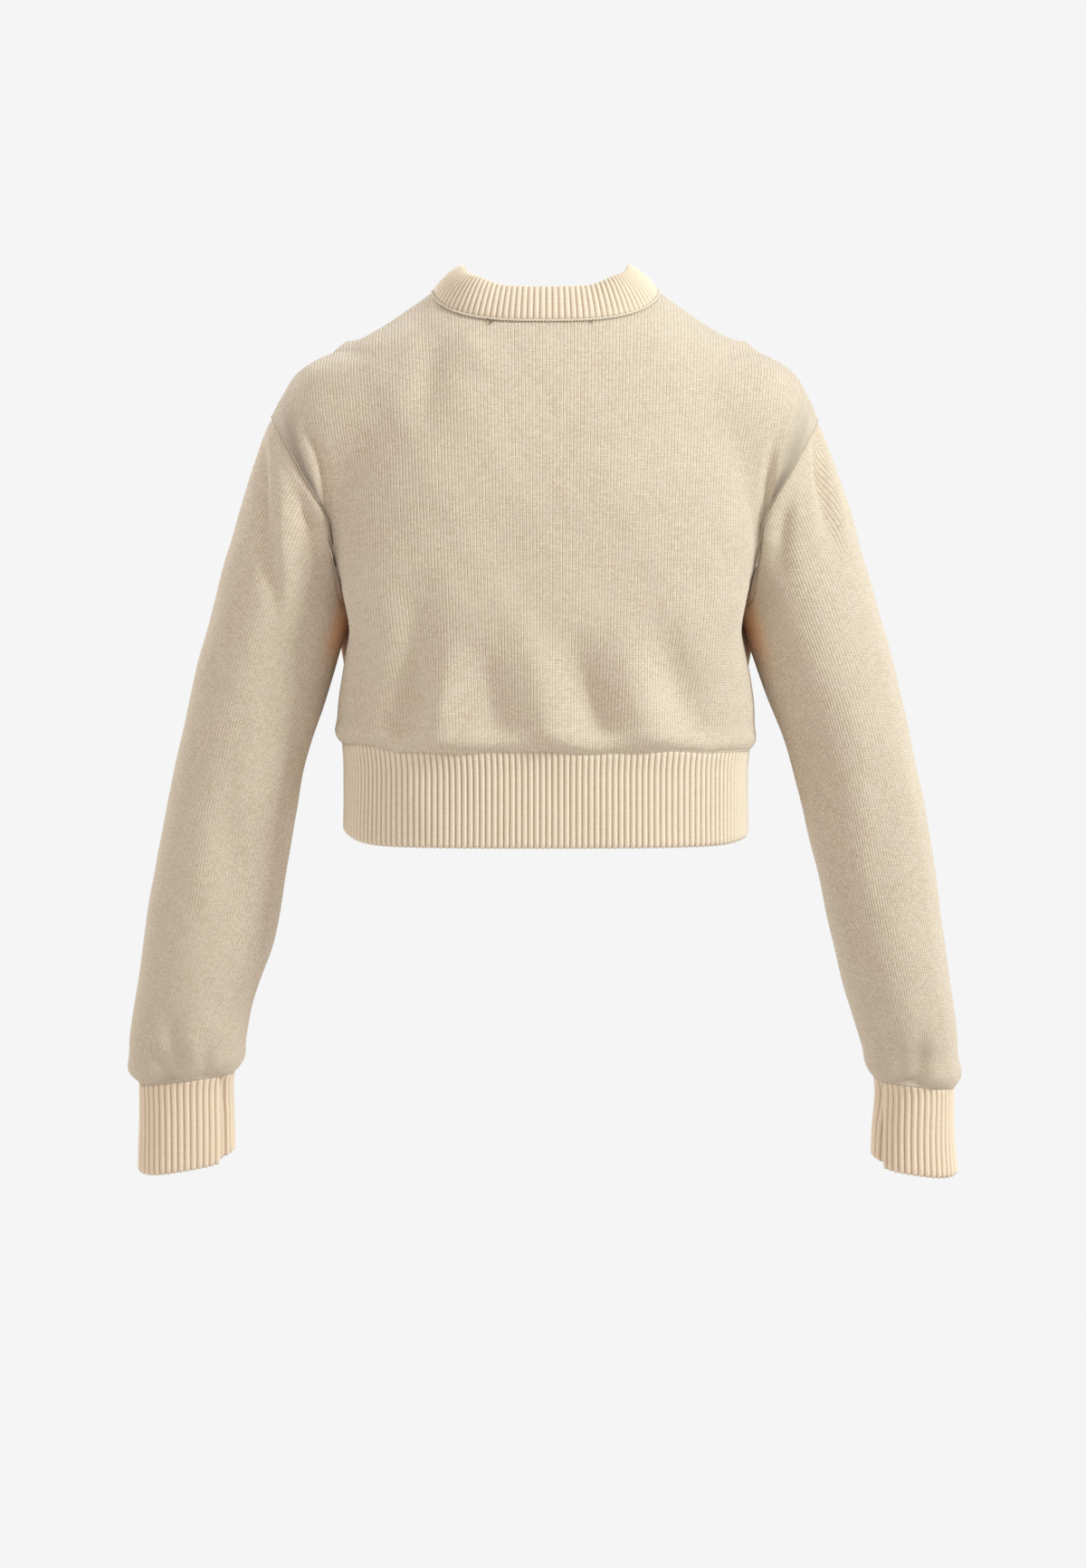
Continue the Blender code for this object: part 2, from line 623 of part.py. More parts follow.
def make_object(name, vertices, faces):
    mesh = bpy.data.meshes.new(name)
    mesh.from_pydata([tuple(v) for v in vertices], [], faces)
    mesh.shade_smooth()
    mesh.set_sharp_from_angle(angle=math.radians(50))
    obj = bpy.data.objects.new(name, mesh)
    material = bpy.data.materials.new(name + "_wool")
    material.use_nodes = True
    shader = material.node_tree.nodes["Principled BSDF"]
    shader.inputs["Base Color"].default_value = WOOL
    shader.inputs["Roughness"].default_value = WOOL_ROUGHNESS
    shader.inputs["Metallic"].default_value = 0.0
    mesh.materials.append(material)
    bpy.context.scene.collection.objects.link(obj)
    return obj


def wall(name, outer_face, inner_face, closed_round):
    """A closed cloth wall between two grids.

    closed_round joins the first and last columns, so the piece is a tube.
    """
    layers = [g[:, :-1] if closed_round else g for g in (outer_face, inner_face)]
    rows, cols = layers[0].shape[:2]
    inner = rows * cols
    vertices = np.concatenate([g.reshape(-1, 3) for g in layers])
    spans = cols if closed_round else cols - 1

    def at(r, c):
        return r * cols + c % cols

    triangles = []
    for r in range(rows - 1):
        for c in range(spans):
            quad = (at(r, c), at(r + 1, c), at(r + 1, c + 1), at(r, c + 1))
            triangles += split(vertices, quad)
            triangles += split(vertices, tuple(i + inner for i in reversed(quad)))
    edges = [(at(0, c), at(0, c + 1)) for c in range(spans)]
    edges += [(at(rows - 1, c + 1), at(rows - 1, c)) for c in range(spans)]
    if not closed_round:
        edges += [(at(r + 1, 0), at(r, 0)) for r in range(rows - 1)]
        edges += [(at(r, cols - 1), at(r + 1, cols - 1)) for r in range(rows - 1)]
    for a, b in edges:
        triangles += split_edge(vertices, a, b, b + inner, a + inner)
    if signed_volume(vertices, triangles) < 0:
        triangles = [(a, c, b) for a, b, c in triangles]
    return make_object(name, vertices, triangles)


def signed_volume(vertices, triangles):
    corners = vertices[np.array(triangles)]
    return np.einsum("ij,ij->i", corners[:, 0], np.cross(corners[:, 1], corners[:, 2])).sum()


def cloth(name, grid, form, thickness, seams, push=None, tube=False):
    """A knitted piece: its grid is the outer face, and the wall goes inwards from it."""
    normals = outward(form, grid.reshape(-1, 3)).reshape(grid.shape)
    outer = trimmed(grid, normals, seams)
    if push is not None:
        outer = outer + push[..., None] * normals
    wall(name, outer, outer - thickness * normals, tube)


# ---------------------------------------------------------------- neck rib
def make_collar(back_top, front_top):
    """Neck rib, folded double, standing on the neck seam and leaning towards the neck."""
    base = np.concatenate([back_top, front_top[-2::-1]])
    normals = outward(body_form, base)
    angle = np.degrees(np.arctan2(np.abs(base[:, 0]), base[:, 1] - NECK_CENTRE_Y))
    height = smooth(COLLAR, COLLAR_COLUMNS, "height", angle)
    stand = np.radians(smooth(COLLAR, COLLAR_COLUMNS, "stand", angle))[:, None]
    to_centre = np.array([0.0, NECK_CENTRE_Y, 0.0]) - base
    trim = seam_trim(base, normals, to_centre)
    across = trim / (SEAM_GAP / 2)
    rise = across * np.cos(stand) + normals * np.sin(stand)
    away = normals * np.cos(stand) - across * np.sin(stand)
    rings = []
    for up, out in COLLAR_PROFILE:
        face = (1 - up) ** 2 * normals + (1 - (1 - up) ** 2) * away
        face /= np.linalg.norm(face, axis=1, keepdims=True)
        ring = base + up * height[:, None] * rise + out * face
        rings.append(ring + trim)
    rings = np.array(rings)[:, :-1]
    count, cols = rings.shape[:2]
    vertices = rings.reshape(-1, 3)
    triangles = []
    for r in range(count):
        below = ((r + 1) % count) * cols
        for c in range(cols):
            ahead = (c + 1) % cols
            quad = (r * cols + c, r * cols + ahead, below + ahead, below + c)
            if r == count - 2:
                triangles += split_edge(vertices, quad[2], quad[3], quad[0], quad[1])
            else:
                triangles += split(vertices, quad)
    if signed_volume(vertices, triangles) < 0:
        triangles = [(a, c, b) for a, b, c in triangles]
    make_object("neck_rib", vertices, triangles)


def main():
    for obj in list(bpy.data.objects):
        bpy.data.objects.remove(obj, do_unlink=True)
    columns = NECK_COLUMNS + 2 * SHOULDER_COLUMNS
    neck_ends = [SHOULDER_COLUMNS, SHOULDER_COLUMNS + NECK_COLUMNS]
    panel_seams = {"top": neck_ends, "foot": [], "sides": [ARMHOLE_ROWS]}
    necks = []
    for name, face, folds in (("back", 1, BACK_FOLDS), ("front", -1, FRONT_FOLDS)):
        grid = panel_grid(face)
        necks.append(grid[0, neck_ends[0]:neck_ends[1] + 1])
        push = fold_push(grid, folds)
        push[[0, -1]] = 0.0
        push[:, [0, -1]] = 0.0
        cloth(name + "_panel", grid, body_form, JERSEY_WALL, panel_seams, push)
        rib_seams = {"top": [], "sides": []}
        cloth("hem_rib_" + name, rib_grid(face, columns), torso, RIB_WALL, rib_seams)
    for side in SIDES:
        form = sleeve_form(side)
        sleeve_seams = {"top": [], "foot": []}
        cloth("sleeve_" + side, sleeve_grid(side), form, JERSEY_WALL, sleeve_seams, tube=True)
        cloth("cuff_" + side, cuff_grid(side), form, RIB_WALL, {"top": []}, tube=True)
    make_collar(*necks)


main()
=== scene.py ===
"""Looks of the cropped knit sweater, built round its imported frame.

Every knitted piece is a thin shell on the same outer form as its CAD solid: a fine grid whose
columns follow the wales, the vertical lines of stitches, with folds, seams and the relief of
the knit added in that order. Metres, +Z up, front towards -Y, the wearer's left towards +X.
"""
import math

import bpy
import numpy as np
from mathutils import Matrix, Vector


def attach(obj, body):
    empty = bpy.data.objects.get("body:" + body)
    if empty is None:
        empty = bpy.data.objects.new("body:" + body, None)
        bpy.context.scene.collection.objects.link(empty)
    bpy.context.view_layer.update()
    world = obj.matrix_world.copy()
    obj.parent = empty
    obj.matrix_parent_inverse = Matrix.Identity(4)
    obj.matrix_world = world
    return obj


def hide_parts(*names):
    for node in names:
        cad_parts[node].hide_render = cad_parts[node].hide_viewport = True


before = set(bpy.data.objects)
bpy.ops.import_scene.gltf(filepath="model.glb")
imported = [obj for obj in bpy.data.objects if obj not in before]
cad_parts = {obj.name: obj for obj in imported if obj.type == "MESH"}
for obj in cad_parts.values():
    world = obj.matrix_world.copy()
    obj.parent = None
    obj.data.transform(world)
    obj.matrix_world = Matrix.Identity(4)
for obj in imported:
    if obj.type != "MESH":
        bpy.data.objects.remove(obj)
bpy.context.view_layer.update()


def metres(rows, plain):
    """Rows given in millimetres, in metres but for the columns whose numbers are in plain."""
    return [tuple(v if i in plain else v / 1000 for i, v in enumerate(row)) for row in rows]


def columns_of(names, rows, plain=()):
    """A table given in millimetres, as named columns that rise with the first of them."""
    return dict(zip(names.split(), np.array(sorted(metres(rows, plain))).T))


# ---- cloth ----
JERSEY_WALL = 0.0025
RIB_WALL = 0.0030

# ---- body ----
NECK_HALF_WIDTH = 0.0865
BACK_NECK_DROP = 0.0270
FRONT_NECK_DROP = 0.0850
BACK_NECK_ROUNDNESS = 3.0
FRONT_NECK_ROUNDNESS = 2.2
RIB_TOP = -0.3520
HEM = -0.4235

# ---- where the body and the sleeves part ----
PARTING_Z = -0.2420
PARTING_MARGIN = 0.0030
ARMHOLE_MIDDLE = -0.1600

# ---- neck rib, folded double ----
COLLAR_WALL = 0.0046
COLLAR_PROUD = 0.0010
COLLAR_BELLY = 0.0015
NECK_CENTRE_Y = -0.012

# ---- control grid of each piece ----
ARMHOLE_ROWS = 10
SLEEVE_ROWS = 19
FINE = 1200
SETTLE_ROUNDS = 10
RING_ROUNDS = 6
LEVEL_COLUMNS = 10
PANEL_COLUMNS = 46
PANEL_ARMHOLE_ROWS = 20
PANEL_SIDE_ROWS = 12
WALES_STRAIGHT = 0.098
WALES_TURN = 0.030
TOP_STRETCH = 6
PACE_POWER = 4

# ---- reach of the lines that look for the outer form, from well inside it ----
NECK_REACH = 0.16
SHOULDER_DEPTH = 0.13
SHOULDER_REACH = 0.16
ARMHOLE_REACH = 0.13
SIDE_START = 0.05
SIDE_REACH = 0.20
SECTION_REACH = 0.30
HALVINGS = 40

# ---- knit: wales across each piece, mesh columns in each wale, height of a course ----
PANEL_WALES = 184
SLEEVE_WALES = 150
HEM_RIBS = 92
CUFF_RIBS = 40
NECK_RIBS = 112
JERSEY_COURSE = 0.00173
RIB_COURSE = 0.0020
JERSEY_RELIEF = 0.00050
HEM_RELIEF = 0.00165
CUFF_RELIEF = 0.00150
NECK_RELIEF = 0.00120

WALE_COLUMNS = 4
RIB_COLUMNS = 8
PANEL_MESH_ROWS = 96
SLEEVE_MESH_ROWS = 90
HEM_MESH_ROWS = 24
CUFF_MESH_ROWS = 24
COLLAR_MESH_ROWS = 24
COARSE_PANEL = (4, 4)
COARSE_SLEEVE = (3, 4)
COARSE_RIB = (4, 8)
BORDER_REACH = 1.0
PANEL_CROWDING = 0.82
SLEEVE_CROWDING = 0.75
RELIEF_LEVEL = 0.6
RIB_BREADTH = 0.65

# ---- edges of the ribs: rounded corners, and the wander of the line above the hem rib ----
CUFF_CORNER = 0.0042
CORNER_POWER = 5
CUFF_STEP_TURN = 3.0
HEM_CORNERS = (0.0100, 0.0060)
HEM_CORNER_POWER = 14
RIB_RISE = 0.0050
RIB_RISE_FROM = 0.105
RIB_RISE_OVER = 0.045
RIB_WAVES = [(0.110, 0.6, 0.0008), (0.047, 2.0, 0.0005)]
RIB_WANDER_REACH = 0.024

# ---- folds ----
FOLD_STEPS = 9
FOLD_PLAIN = (8,)
FOLD_FADE = 0.018
CREASE_FADE = 0.004
SIDE_PUSH = {1: -0.0070, -1: 0.0058}
SIDE_AT = 0.046
SIDE_WIDTH = 0.026
SIDE_LEVEL = -0.256
SIDE_HEIGHT = 0.032
BODY_BLOUSE = (0.0028, 0.0085, 0.0070)
SLEEVE_BLOUSE = (0.0036, 0.0120, 0.0100)
FOLD_TURN = 0.4
UNEVEN = 0.0011
RIB_UNEVEN = 0.0006
RIPPLES = [
    (9.0, 3.0, 5.0, 0.4, 0.35),
    (-14.0, 4.0, 8.0, 2.1, 0.25),
    (6.0, -5.0, 17.0, 4.0, 0.20),
    (23.0, 7.0, -11.0, 1.2, 0.12),
    (-31.0, 9.0, 19.0, 5.1, 0.08),
]

# ---- painted bounce light: a warm glow painted where cloth faces cloth under the arms, and on cuffs ----
BOUNCE_LIGHT_PEAK = -0.2600
BOUNCE_LIGHT_ABOVE = 0.032
BOUNCE_LIGHT_BELOW = 0.022
BOUNCE_LIGHT_REACH = 0.014
BOUNCE_LIGHT_STRIP = (0.034, 0.019)
BOUNCE_LIGHT_FROM = 0.70
BOUNCE_LIGHT_TURN = 0.24
CUFF_BOUNCE_LIGHT = 0.09

# ---- seams ----
SEAM_LIP = 0.0007
SEAM_LIP_AT = 0.0018
SEAM_LIP_WIDTH = 0.0012
SEAM_DIP = 0.0012
SEAM_DIP_WIDTH = 0.0010
SEAM_SINK_WIDTH = 0.0030
SIDE_SEAM = 0.5
ARMHOLE_TURN = 0.01
SHOULDER_SEAM = 0.4
NECK_DIP = 0.15
RELIEF_FADE = 0.0020
RIB_START = 0.0040
RIB_EDGE = 0.0022
RIB_EDGE_ROUND = 0.4
GROOVE_TURN = 0.3
NECK_RIB_START = 0.0014
NECK_TUCK = 0.0006
NECK_TUCK_REACH = 0.0020

# ---- linking stitches and the tacks of the inside label ----
LINK_PITCH = 0.0024
LINK_YARN = 0.00058
LINK_LIFT = 0.0009
LINK_WOBBLE = 0.00008
LINK_WOBBLE_STEP = 2.3
LINK_TAPER = 0.6
LINK_REACH = 0.62
LINK_RISE = 0.42
LINK_LOOPS = ((1.0, 0.0), (-0.55, 0.5))
LINK_SHARES = (-1.0, -0.4, 0.4, 1.0)
STRAND_SIDES = 6
UPRIGHT = 0.9
TACK_YARN = 0.00042
TACK_LIFT = 0.0011
TACK_TAPER = 0.7
# Each tack: x, how far below the seam, length and lean.
LABEL_TACKS = [
    (0.0425, 0.0018, 0.0044, 0.5),
    (0.0400, 0.0034, 0.0026, -0.8),
    (-0.0335, 0.0028, 0.0026, 0.4),
]

# ---- wool ----
LIGHT = (0.790, 0.641, 0.481)
# The valley colours are painted shade: darker colour laid in the valleys between wales and between
# ribs.
VALLEY_SHADE = (0.42, 0.29, 0.175)
RIB_VALLEY_SHADE = (0.38, 0.25, 0.15)
PINK = (0.70, 0.56, 0.45)
DRIFT = (0.72, 0.62, 0.44)
# Painted bounce light: the warm glow mixed into the wool's colour under the arms and on the cuffs.
BOUNCE_LIGHT_COLOUR = (0.86, 0.44, 0.20)
YARN = (0.80, 0.69, 0.54)
TACK = (0.22, 0.13, 0.08)
DRIFT_SHARE = 0.30
FUZZ_SHARE = 0.35
LUMP_SHARE = 0.30
BUMP_STRENGTH = 1.0
FUZZ_TONE = 0.35
RIDGE_EDGE = 0.45
LOOP_WOBBLE = 0.5
LOOP_DEPTH = 0.6
HEATHER_RANGE = (0.35, 0.7)
DRIFT_RANGE = (0.3, 0.75)
NAP = 0.45
NAP_ROUGHNESS = 0.55
NAP_TINT = (1.0, 0.95, 0.87, 1.0)
SPECULAR = 0.18
ROUGH_SPREAD = 0.12
ROUGH_LEAST = 0.86
TWIST_DEPTH = 0.0003
TWIST_SHADE = 0.8
YARN_ROUGHNESS = 0.9
# Noises: scale, detail and roughness.
LOOP_NOISE = (220.0, 2.0, 0.6)
FUZZ_NOISE = (1400.0, 3.0, 0.7)
LUMP_NOISE = (330.0, 2.0, 0.6)
HEATHER_NOISE = (70.0, 4.0, 0.65)
DRIFT_NOISE = (11.0, 2.0, 0.6)
TWIST_NOISE = (1800.0, 2.0, 0.5)
# Wools: name, slant of the stitches, their share of the bump, its depth, painted shade of the
# valleys, tones of the stitch and ridge, which paint light on the raised yarn, of chance and
# base, and share of the heather.
JERSEY_WOOL = ("jersey_wool", 0.55, 0.60, 0.0009, VALLEY_SHADE, (0.50, 0.40, 0.34, -0.20), 0.40)
RIB_WOOL = ("rib_wool", 0.5, 0.4, 0.0007, RIB_VALLEY_SHADE, (0.18, 0.80, 0.10, -0.12), 0.15)

# ---- maps: the outer face takes most of each piece's map ----
MAP_EDGE = 0.01
OUTER_MAP = 0.82
MAP_WIDTH = 1 - 2 * MAP_EDGE

# ---- studio ----
FLOOR = -1.05
COVE_RADIUS = 6.5
COVE_BEND = 1.5
COVE_HEIGHT = 6.0
COVE_STEPS = 12
COVE_SIDES = 64
COVE_GLOW = 0.913
SKY = 0.913
# Lamps: name, place, aim, size, power and colour.
LAMPS = [
    ("key", (-2.8, 1.6, 1.7), (0.0, 0.0, -0.35), 0.8, 112.0, (0.80, 0.94, 1.0)),
    ("back_key", (2.1, -2.3, 1.5), (0.0, 0.0, -0.35), 1.0, 52.0, (0.82, 0.94, 1.0)),
]
SENSOR_WIDTH = 36.0
CAMERA_DISTANCE = 3.0
CAMERA_Z = -0.25
PICTURE_X = 0.0021
PICTURE_Z = -0.379
PICTURE_HEIGHT = 1.2131

# Torso sections: half width, depth to the back and to the front, squareness, and how far
# the hanging arm presses the side in.
TORSO = columns_of("z half_width back front power side_dent", [
    (40, 40, 30, 25, 2.0, 0),
    (15, 64, 44, 36, 2.0, 0),
    (0, 86.5, 53, 44, 2.0, 0),
    (-24.5, 122, 66, 58, 2.1, 0),
    (-47, 156, 78, 72, 2.2, 0),
    (-80, 170, 91, 90, 2.3, 0),
    (-120, 171, 101, 104, 2.4, 2),
    (-170, 172, 107, 113, 2.7, 18),
    (-235, 170, 107, 114, 3.0, 25),
    (-275, 165, 106, 112, 2.8, 12),
    (-310, 161, 105, 110, 2.6, 2),
    (-335, 161, 104, 107, 2.6, 0),
    (-352, 157, 100, 101, 2.6, 0),
    (-370, 155.5, 98, 97, 2.6, 0),
    (-430, 156, 98, 96, 2.6, 0),
], plain=(4,))
DENT_REACH = 0.045

# Sleeve sections: outer and inner edge from the middle of the garment, half depth front to
# back, the middle of that depth, and squareness. The top rows round over the shoulder.
SLEEVE_LEFT = columns_of("z outer inner half_depth middle_y power", [
    (-46.5, 158, 148, 5, 0, 2.0),
    (-50.5, 170, 132, 22, 0, 2.0),
    (-58, 185, 112, 40, 0, 2.0),
    (-80, 203, 100, 54, 0, 2.0),
    (-108.5, 216, 103, 60, 0, 2.0),
    (-164.5, 234.5, 122, 61, 0, 2.0),
    (-235, 254.5, 147, 58, 0, 2.0),
    (-290, 269.5, 163, 56, -2, 2.1),
    (-360.5, 286.3, 185.5, 54, -6, 2.1),
    (-430.5, 301, 198.8, 53, -12, 2.1),
    (-500.5, 312.9, 212.1, 52, -18, 2.1),
    (-550, 320, 229, 48, -22, 2.1),
    (-585, 325.5, 237.3, 44, -24, 2.1),
    (-600, 324.5, 242, 36, -25, 2.1),
    (-613, 318, 245, 28, -26, 2.1),
    (-645, 318.5, 244, 25, -27, 2.1),
    (-700, 319.5, 243.5, 24, -28, 2.1),
], plain=(5,))
SLEEVE_RIGHT = columns_of("z outer inner half_depth middle_y power", [
    (-46.5, 158, 148, 5, 0, 2.0),
    (-50.5, 170, 132, 22, 0, 2.0),
    (-58, 185, 112, 40, 0, 2.0),
    (-80, 202, 100, 54, 0, 2.0),
    (-108.5, 213, 103, 60, 0, 2.0),
    (-164.5, 233, 122, 61, 0, 2.0),
    (-235, 254.1, 147, 59, 0, 2.0),
    (-290, 269.5, 164, 58, -2, 2.1),
    (-360.5, 286.3, 189.7, 56, -6, 2.1),
    (-430.5, 299.6, 207.2, 55, -12, 2.1),
    (-500.5, 310.8, 224, 54, -18, 2.1),
    (-550, 317.5, 237, 51, -22, 2.1),
    (-585, 321.3, 247.8, 46, -24, 2.1),
    (-605, 321.5, 256, 40, -25, 2.1),
    (-620, 319.5, 258, 34, -26, 2.1),
    (-650, 320, 256.5, 32, -27, 2.1),
    (-700, 324, 255, 31, -28, 2.1),
], plain=(5,))

# Armhole seam seen from behind: its distance from the middle at each height, and how far it
# is drawn in under the arm, between front and back.
ARMHOLE = columns_of("z x drawn_in", [
    (-50, 235, 0),
    (-96, 212, 0),
    (-140, 186, 0),
    (-178, 165.5, 2),
    (-210, 162, 10),
    (-235, 161, 14),
    (-270, 161, 14),
])
DRAW_REACH = 0.030

# Width of the soft join between torso and sleeve. It tightens to a crease at the armpit.
JOIN = columns_of("z width", [(0, 30), (-100, 30), (-140, 16), (-180, 6), (-235, 4)])

# Neck rib round its seam: angle from the centre back, height, and how many degrees it
# stands off the slope of the body below it.
COLLAR = columns_of("angle height stand", [
    (0, 29.5, 7),
    (25, 29.8, 9),
    (45, 32.2, 19),
    (65, 32, 15),
    (90, 30.2, 4),
    (135, 29.5, 6),
    (180, 29, 6),
], plain=(0, 2))

# Section through the neck rib: share of its height, and distance out from the seam line.
# It goes up the outside, over the fold and down the inside to the seam line.
COLLAR_PROFILE = [
    (0.00, COLLAR_PROUD),
    (0.33, COLLAR_PROUD + COLLAR_BELLY),
    (0.70, COLLAR_PROUD + COLLAR_BELLY),
    (0.94, COLLAR_PROUD * 0.9),
    (1.00, COLLAR_PROUD - COLLAR_WALL / 2),
    (0.94, COLLAR_PROUD * 0.9 - COLLAR_WALL),
    (0.70, COLLAR_PROUD + COLLAR_BELLY - COLLAR_WALL),
    (0.33, COLLAR_PROUD + COLLAR_BELLY - COLLAR_WALL),
    (0.00, COLLAR_PROUD - COLLAR_WALL),
]

# Cuffs: the middle height of the cuff's top and bottom edges, and their tilt.
CUFFS = {
    "left": {"top": -0.6105, "top_tilt": 0.13, "bottom": -0.6815, "bottom_tilt": 0.17},
    "right": {"top": -0.6140, "top_tilt": 0.12, "bottom": -0.6840, "bottom_tilt": 0.14},
}

# Largest folds, in millimetres: x and z of the top, the middle and the foot, then the width,
# the depth, below zero in a trough, and where along the fold it is deepest, from 0 to 1.
BACK_FOLDS = [
    (82, -30, 87.5, -66, 94, -110, 12, -3.2, 0.5),
    (66, -34, 54, -50, 42, -70, 11, 2.2, 0.5),
    (100, -215, 100, -290, 120, -350, 17, -11.2, 0.6),
    (46, -265, 42, -310, 36, -350, 14, -6.3, 0.6),
    (-16, -255, -32, -309, -43, -350, 14, -8.4, 0.6),
    (-84, -245, -99, -296, -134, -352, 16, -7.7, 0.6),
    (72, -255, 78, -305, 84, -350, 13, 6.3, 0.7),
    (16, -235, 3, -310, -5, -352, 16, 6.3, 0.7),
    (-54, -235, -70, -312, -89, -352, 16, 7, 0.7),
]
FRONT_FOLDS = [
    (108, -205, 102, -285, 112, -350, 17, -9.8, 0.6),
    (30, -250, 34, -305, 45, -350, 15, -7, 0.6),
    (-40, -240, -38, -300, -30, -350, 16, -7.7, 0.6),
    (-105, -215, -96, -290, -110, -352, 16, -9.1, 0.6),
    (70, -240, 68, -300, 78, -352, 15, 6.3, 0.7),
    (-4, -250, -2, -305, 8, -352, 16, 5.6, 0.7),
    (-72, -235, -68, -300, -70, -352, 15, 6.3, 0.7),
]
SLEEVE_FOLDS = {
    "left": {
        1: [
            (215, -118, 210, -190, 204, -262, 6.5, -4.5, 0.35),
            (202, -130, 198, -200, 192, -270, 8, 3.1, 0.40),
            (187, -150, 180, -176, 172, -205, 7, -4.9, 0.50),
            (245, -330, 240, -420, 250, -500, 14, -2.8, 0.50),
            (292, -545, 288, -575, 278, -612, 9, -6.3, 0.75),
            (260, -560, 262, -590, 268, -612, 8, -3.1, 0.70),
        ],
        -1: [
            (220, -130, 215, -200, 206, -270, 8, -4.2, 0.40),
            (190, -150, 182, -180, 174, -215, 8, -4.2, 0.50),
            (260, -350, 252, -430, 260, -500, 15, -3.1, 0.50),
            (290, -550, 285, -580, 275, -612, 10, -5.6, 0.75),
        ],
    },
    "right": {
        1: [
            (-208, -118, -211, -165, -216, -215, 6, -3.9, 0.40),
            (-218, -120, -226, -165, -235, -205, 7, 2.5, 0.50),
            (-185, -150, -179, -185, -176, -225, 7.5, -4.2, 0.45),
            (-252, -340, -260, -420, -258, -500, 14, -2.5, 0.50),
            (-295, -550, -290, -580, -280, -616, 10, -4.9, 0.75),
            (-268, -555, -272, -590, -278, -616, 8, -3.1, 0.70),
        ],
        -1: [
            (-215, -130, -213, -195, -206, -260, 8, -3.9, 0.40),
            (-188, -150, -180, -185, -174, -220, 8, -4.2, 0.50),
            (-262, -360, -256, -440, -264, -510, 15, -2.8, 0.50),
            (-292, -555, -287, -585, -277, -616, 10, -4.9, 0.75),
        ],
    },
}
BACK_CREASES = [
    (187, -106, 170, -134, 164.5, -200, 4.5, -6.2, 0.65),
    (-182, -104, -169.5, -134, -164, -198, 4.5, -5.5, 0.65),
]
FRONT_CREASES = [
    (184, -106, 170.5, -138, 166, -192, 6, -7, 0.65),
    (-184, -106, -170, -138, -165, -192, 6, -7, 0.65),
]
SLEEVE_CREASES = {
    "left": {
        1: [
            (306.5, -568, 298.5, -597, 283, -617, 8, -6, 0.75),
            (259, -585, 264, -600, 270, -615, 7, -3, 0.75),
            (187, -166, 180, -178, 173.5, -192, 6, -1.8, 0.50),
            (211.5, -105, 210, -155, 208, -215, 3.2, 2.2, 0.40),
            (217.5, -110, 216, -160, 213, -230, 4, -2.6, 0.40),
        ],
        -1: [(295, -575, 288, -600, 276, -615, 8, -5, 0.75)],
    },
    "right": {
        1: [
            (-300, -572, -292, -598, -280, -618, 8, -5, 0.75),
            (-270, -590, -274, -606, -278, -619, 7, -3, 0.75),
            (-185, -166, -179, -180, -173.5, -195, 6, -1.5, 0.50),
            (-209, -95, -219, -155, -232, -225, 3.4, 3, 0.40),
            (-203, -100, -212, -155, -224, -215, 4.2, -3.4, 0.40),
        ],
        -1: [(-295, -575, -288, -600, -278, -617, 8, -5, 0.75)],
    },
}

# Folds pressed into the cuffs beside their inner edge: face, distance from the middle of the
# garment, width, depth, and how much higher the edge ends past the fold.
CUFF_GROOVES = {
    "left": [(1, 0.2515, 0.0019, 0.0040, 0.0036)],
    "right": [(1, -0.2605, 0.0019, 0.0036, 0.0034)],
}


# ---- tables and curves ----
def smooth(table, name, at):
    """A named column read at any key, on a curve that never swings past its rows."""
    keys, values = next(iter(table.values())), table[name]
    gaps = np.diff(keys)
    rises = np.diff(values) / gaps
    slopes = np.zeros(len(keys))
    same_way = rises[:-1] * rises[1:] > 0
    mean = (rises[:-1] * gaps[1:] + rises[1:] * gaps[:-1]) / (gaps[:-1] + gaps[1:])
    least = 2.0 * np.minimum(np.abs(rises[:-1]), np.abs(rises[1:]))
    slopes[1:-1] = np.where(same_way, np.sign(mean) * np.minimum(np.abs(mean), least), 0.0)
    slopes[0], slopes[-1] = rises[0], rises[-1]
    at = np.clip(at, keys[0], keys[-1])
    i = np.clip(np.searchsorted(keys, at) - 1, 0, len(gaps) - 1)
    t = (at - keys[i]) / gaps[i]
    start = (1 + 2 * t) * (1 - t) ** 2 * values[i] + t * (1 - t) ** 2 * gaps[i] * slopes[i]
    end = t * t * (3 - 2 * t) * values[i + 1] - t * t * (1 - t) * gaps[i] * slopes[i + 1]
    return start + end


def softly(x):
    """A smooth step from 0 to 1."""
    x = np.clip(x, 0.0, 1.0)
    return x * x * (3 - 2 * x)


def bell(x, width):
    return np.exp(-((x / width) ** 2))


def along(points):
    """Distance along a polyline, as a fraction of its length."""
    steps = np.linalg.norm(np.diff(points, axis=0), axis=1)
    run = np.concatenate([[0.0], np.cumsum(steps)])
    return run / run[-1]


def at_fractions(points, fractions):
    """Points of a polyline at given fractions of its length."""
    run = along(points)
    return np.stack([np.interp(fractions, run, points[:, k]) for k in range(3)], axis=1)


def evenly(points, count):
    return at_fractions(points, np.linspace(0.0, 1.0, count + 1))


# ---- the outer form ----
def section_distance(x, y, half_x, half_y, power):
    """Distance from a rounded section, measured towards its middle."""
    reach = (np.abs(x / half_x) ** power + np.abs(y / half_y) ** power) ** (1.0 / power)
    return np.hypot(x, y) * (1.0 - 1.0 / np.maximum(reach, 1e-6))


def torso(p):
    x, y, z = p.T
    names = ("half_width", "back", "front", "power", "side_dent")
    half_width, back, front, power, dent = (smooth(TORSO, name, z) for name in names)
    half_width = half_width - dent * bell(y, DENT_REACH)
    return section_distance(x, y, half_width, np.where(y > 0, back, front), power)


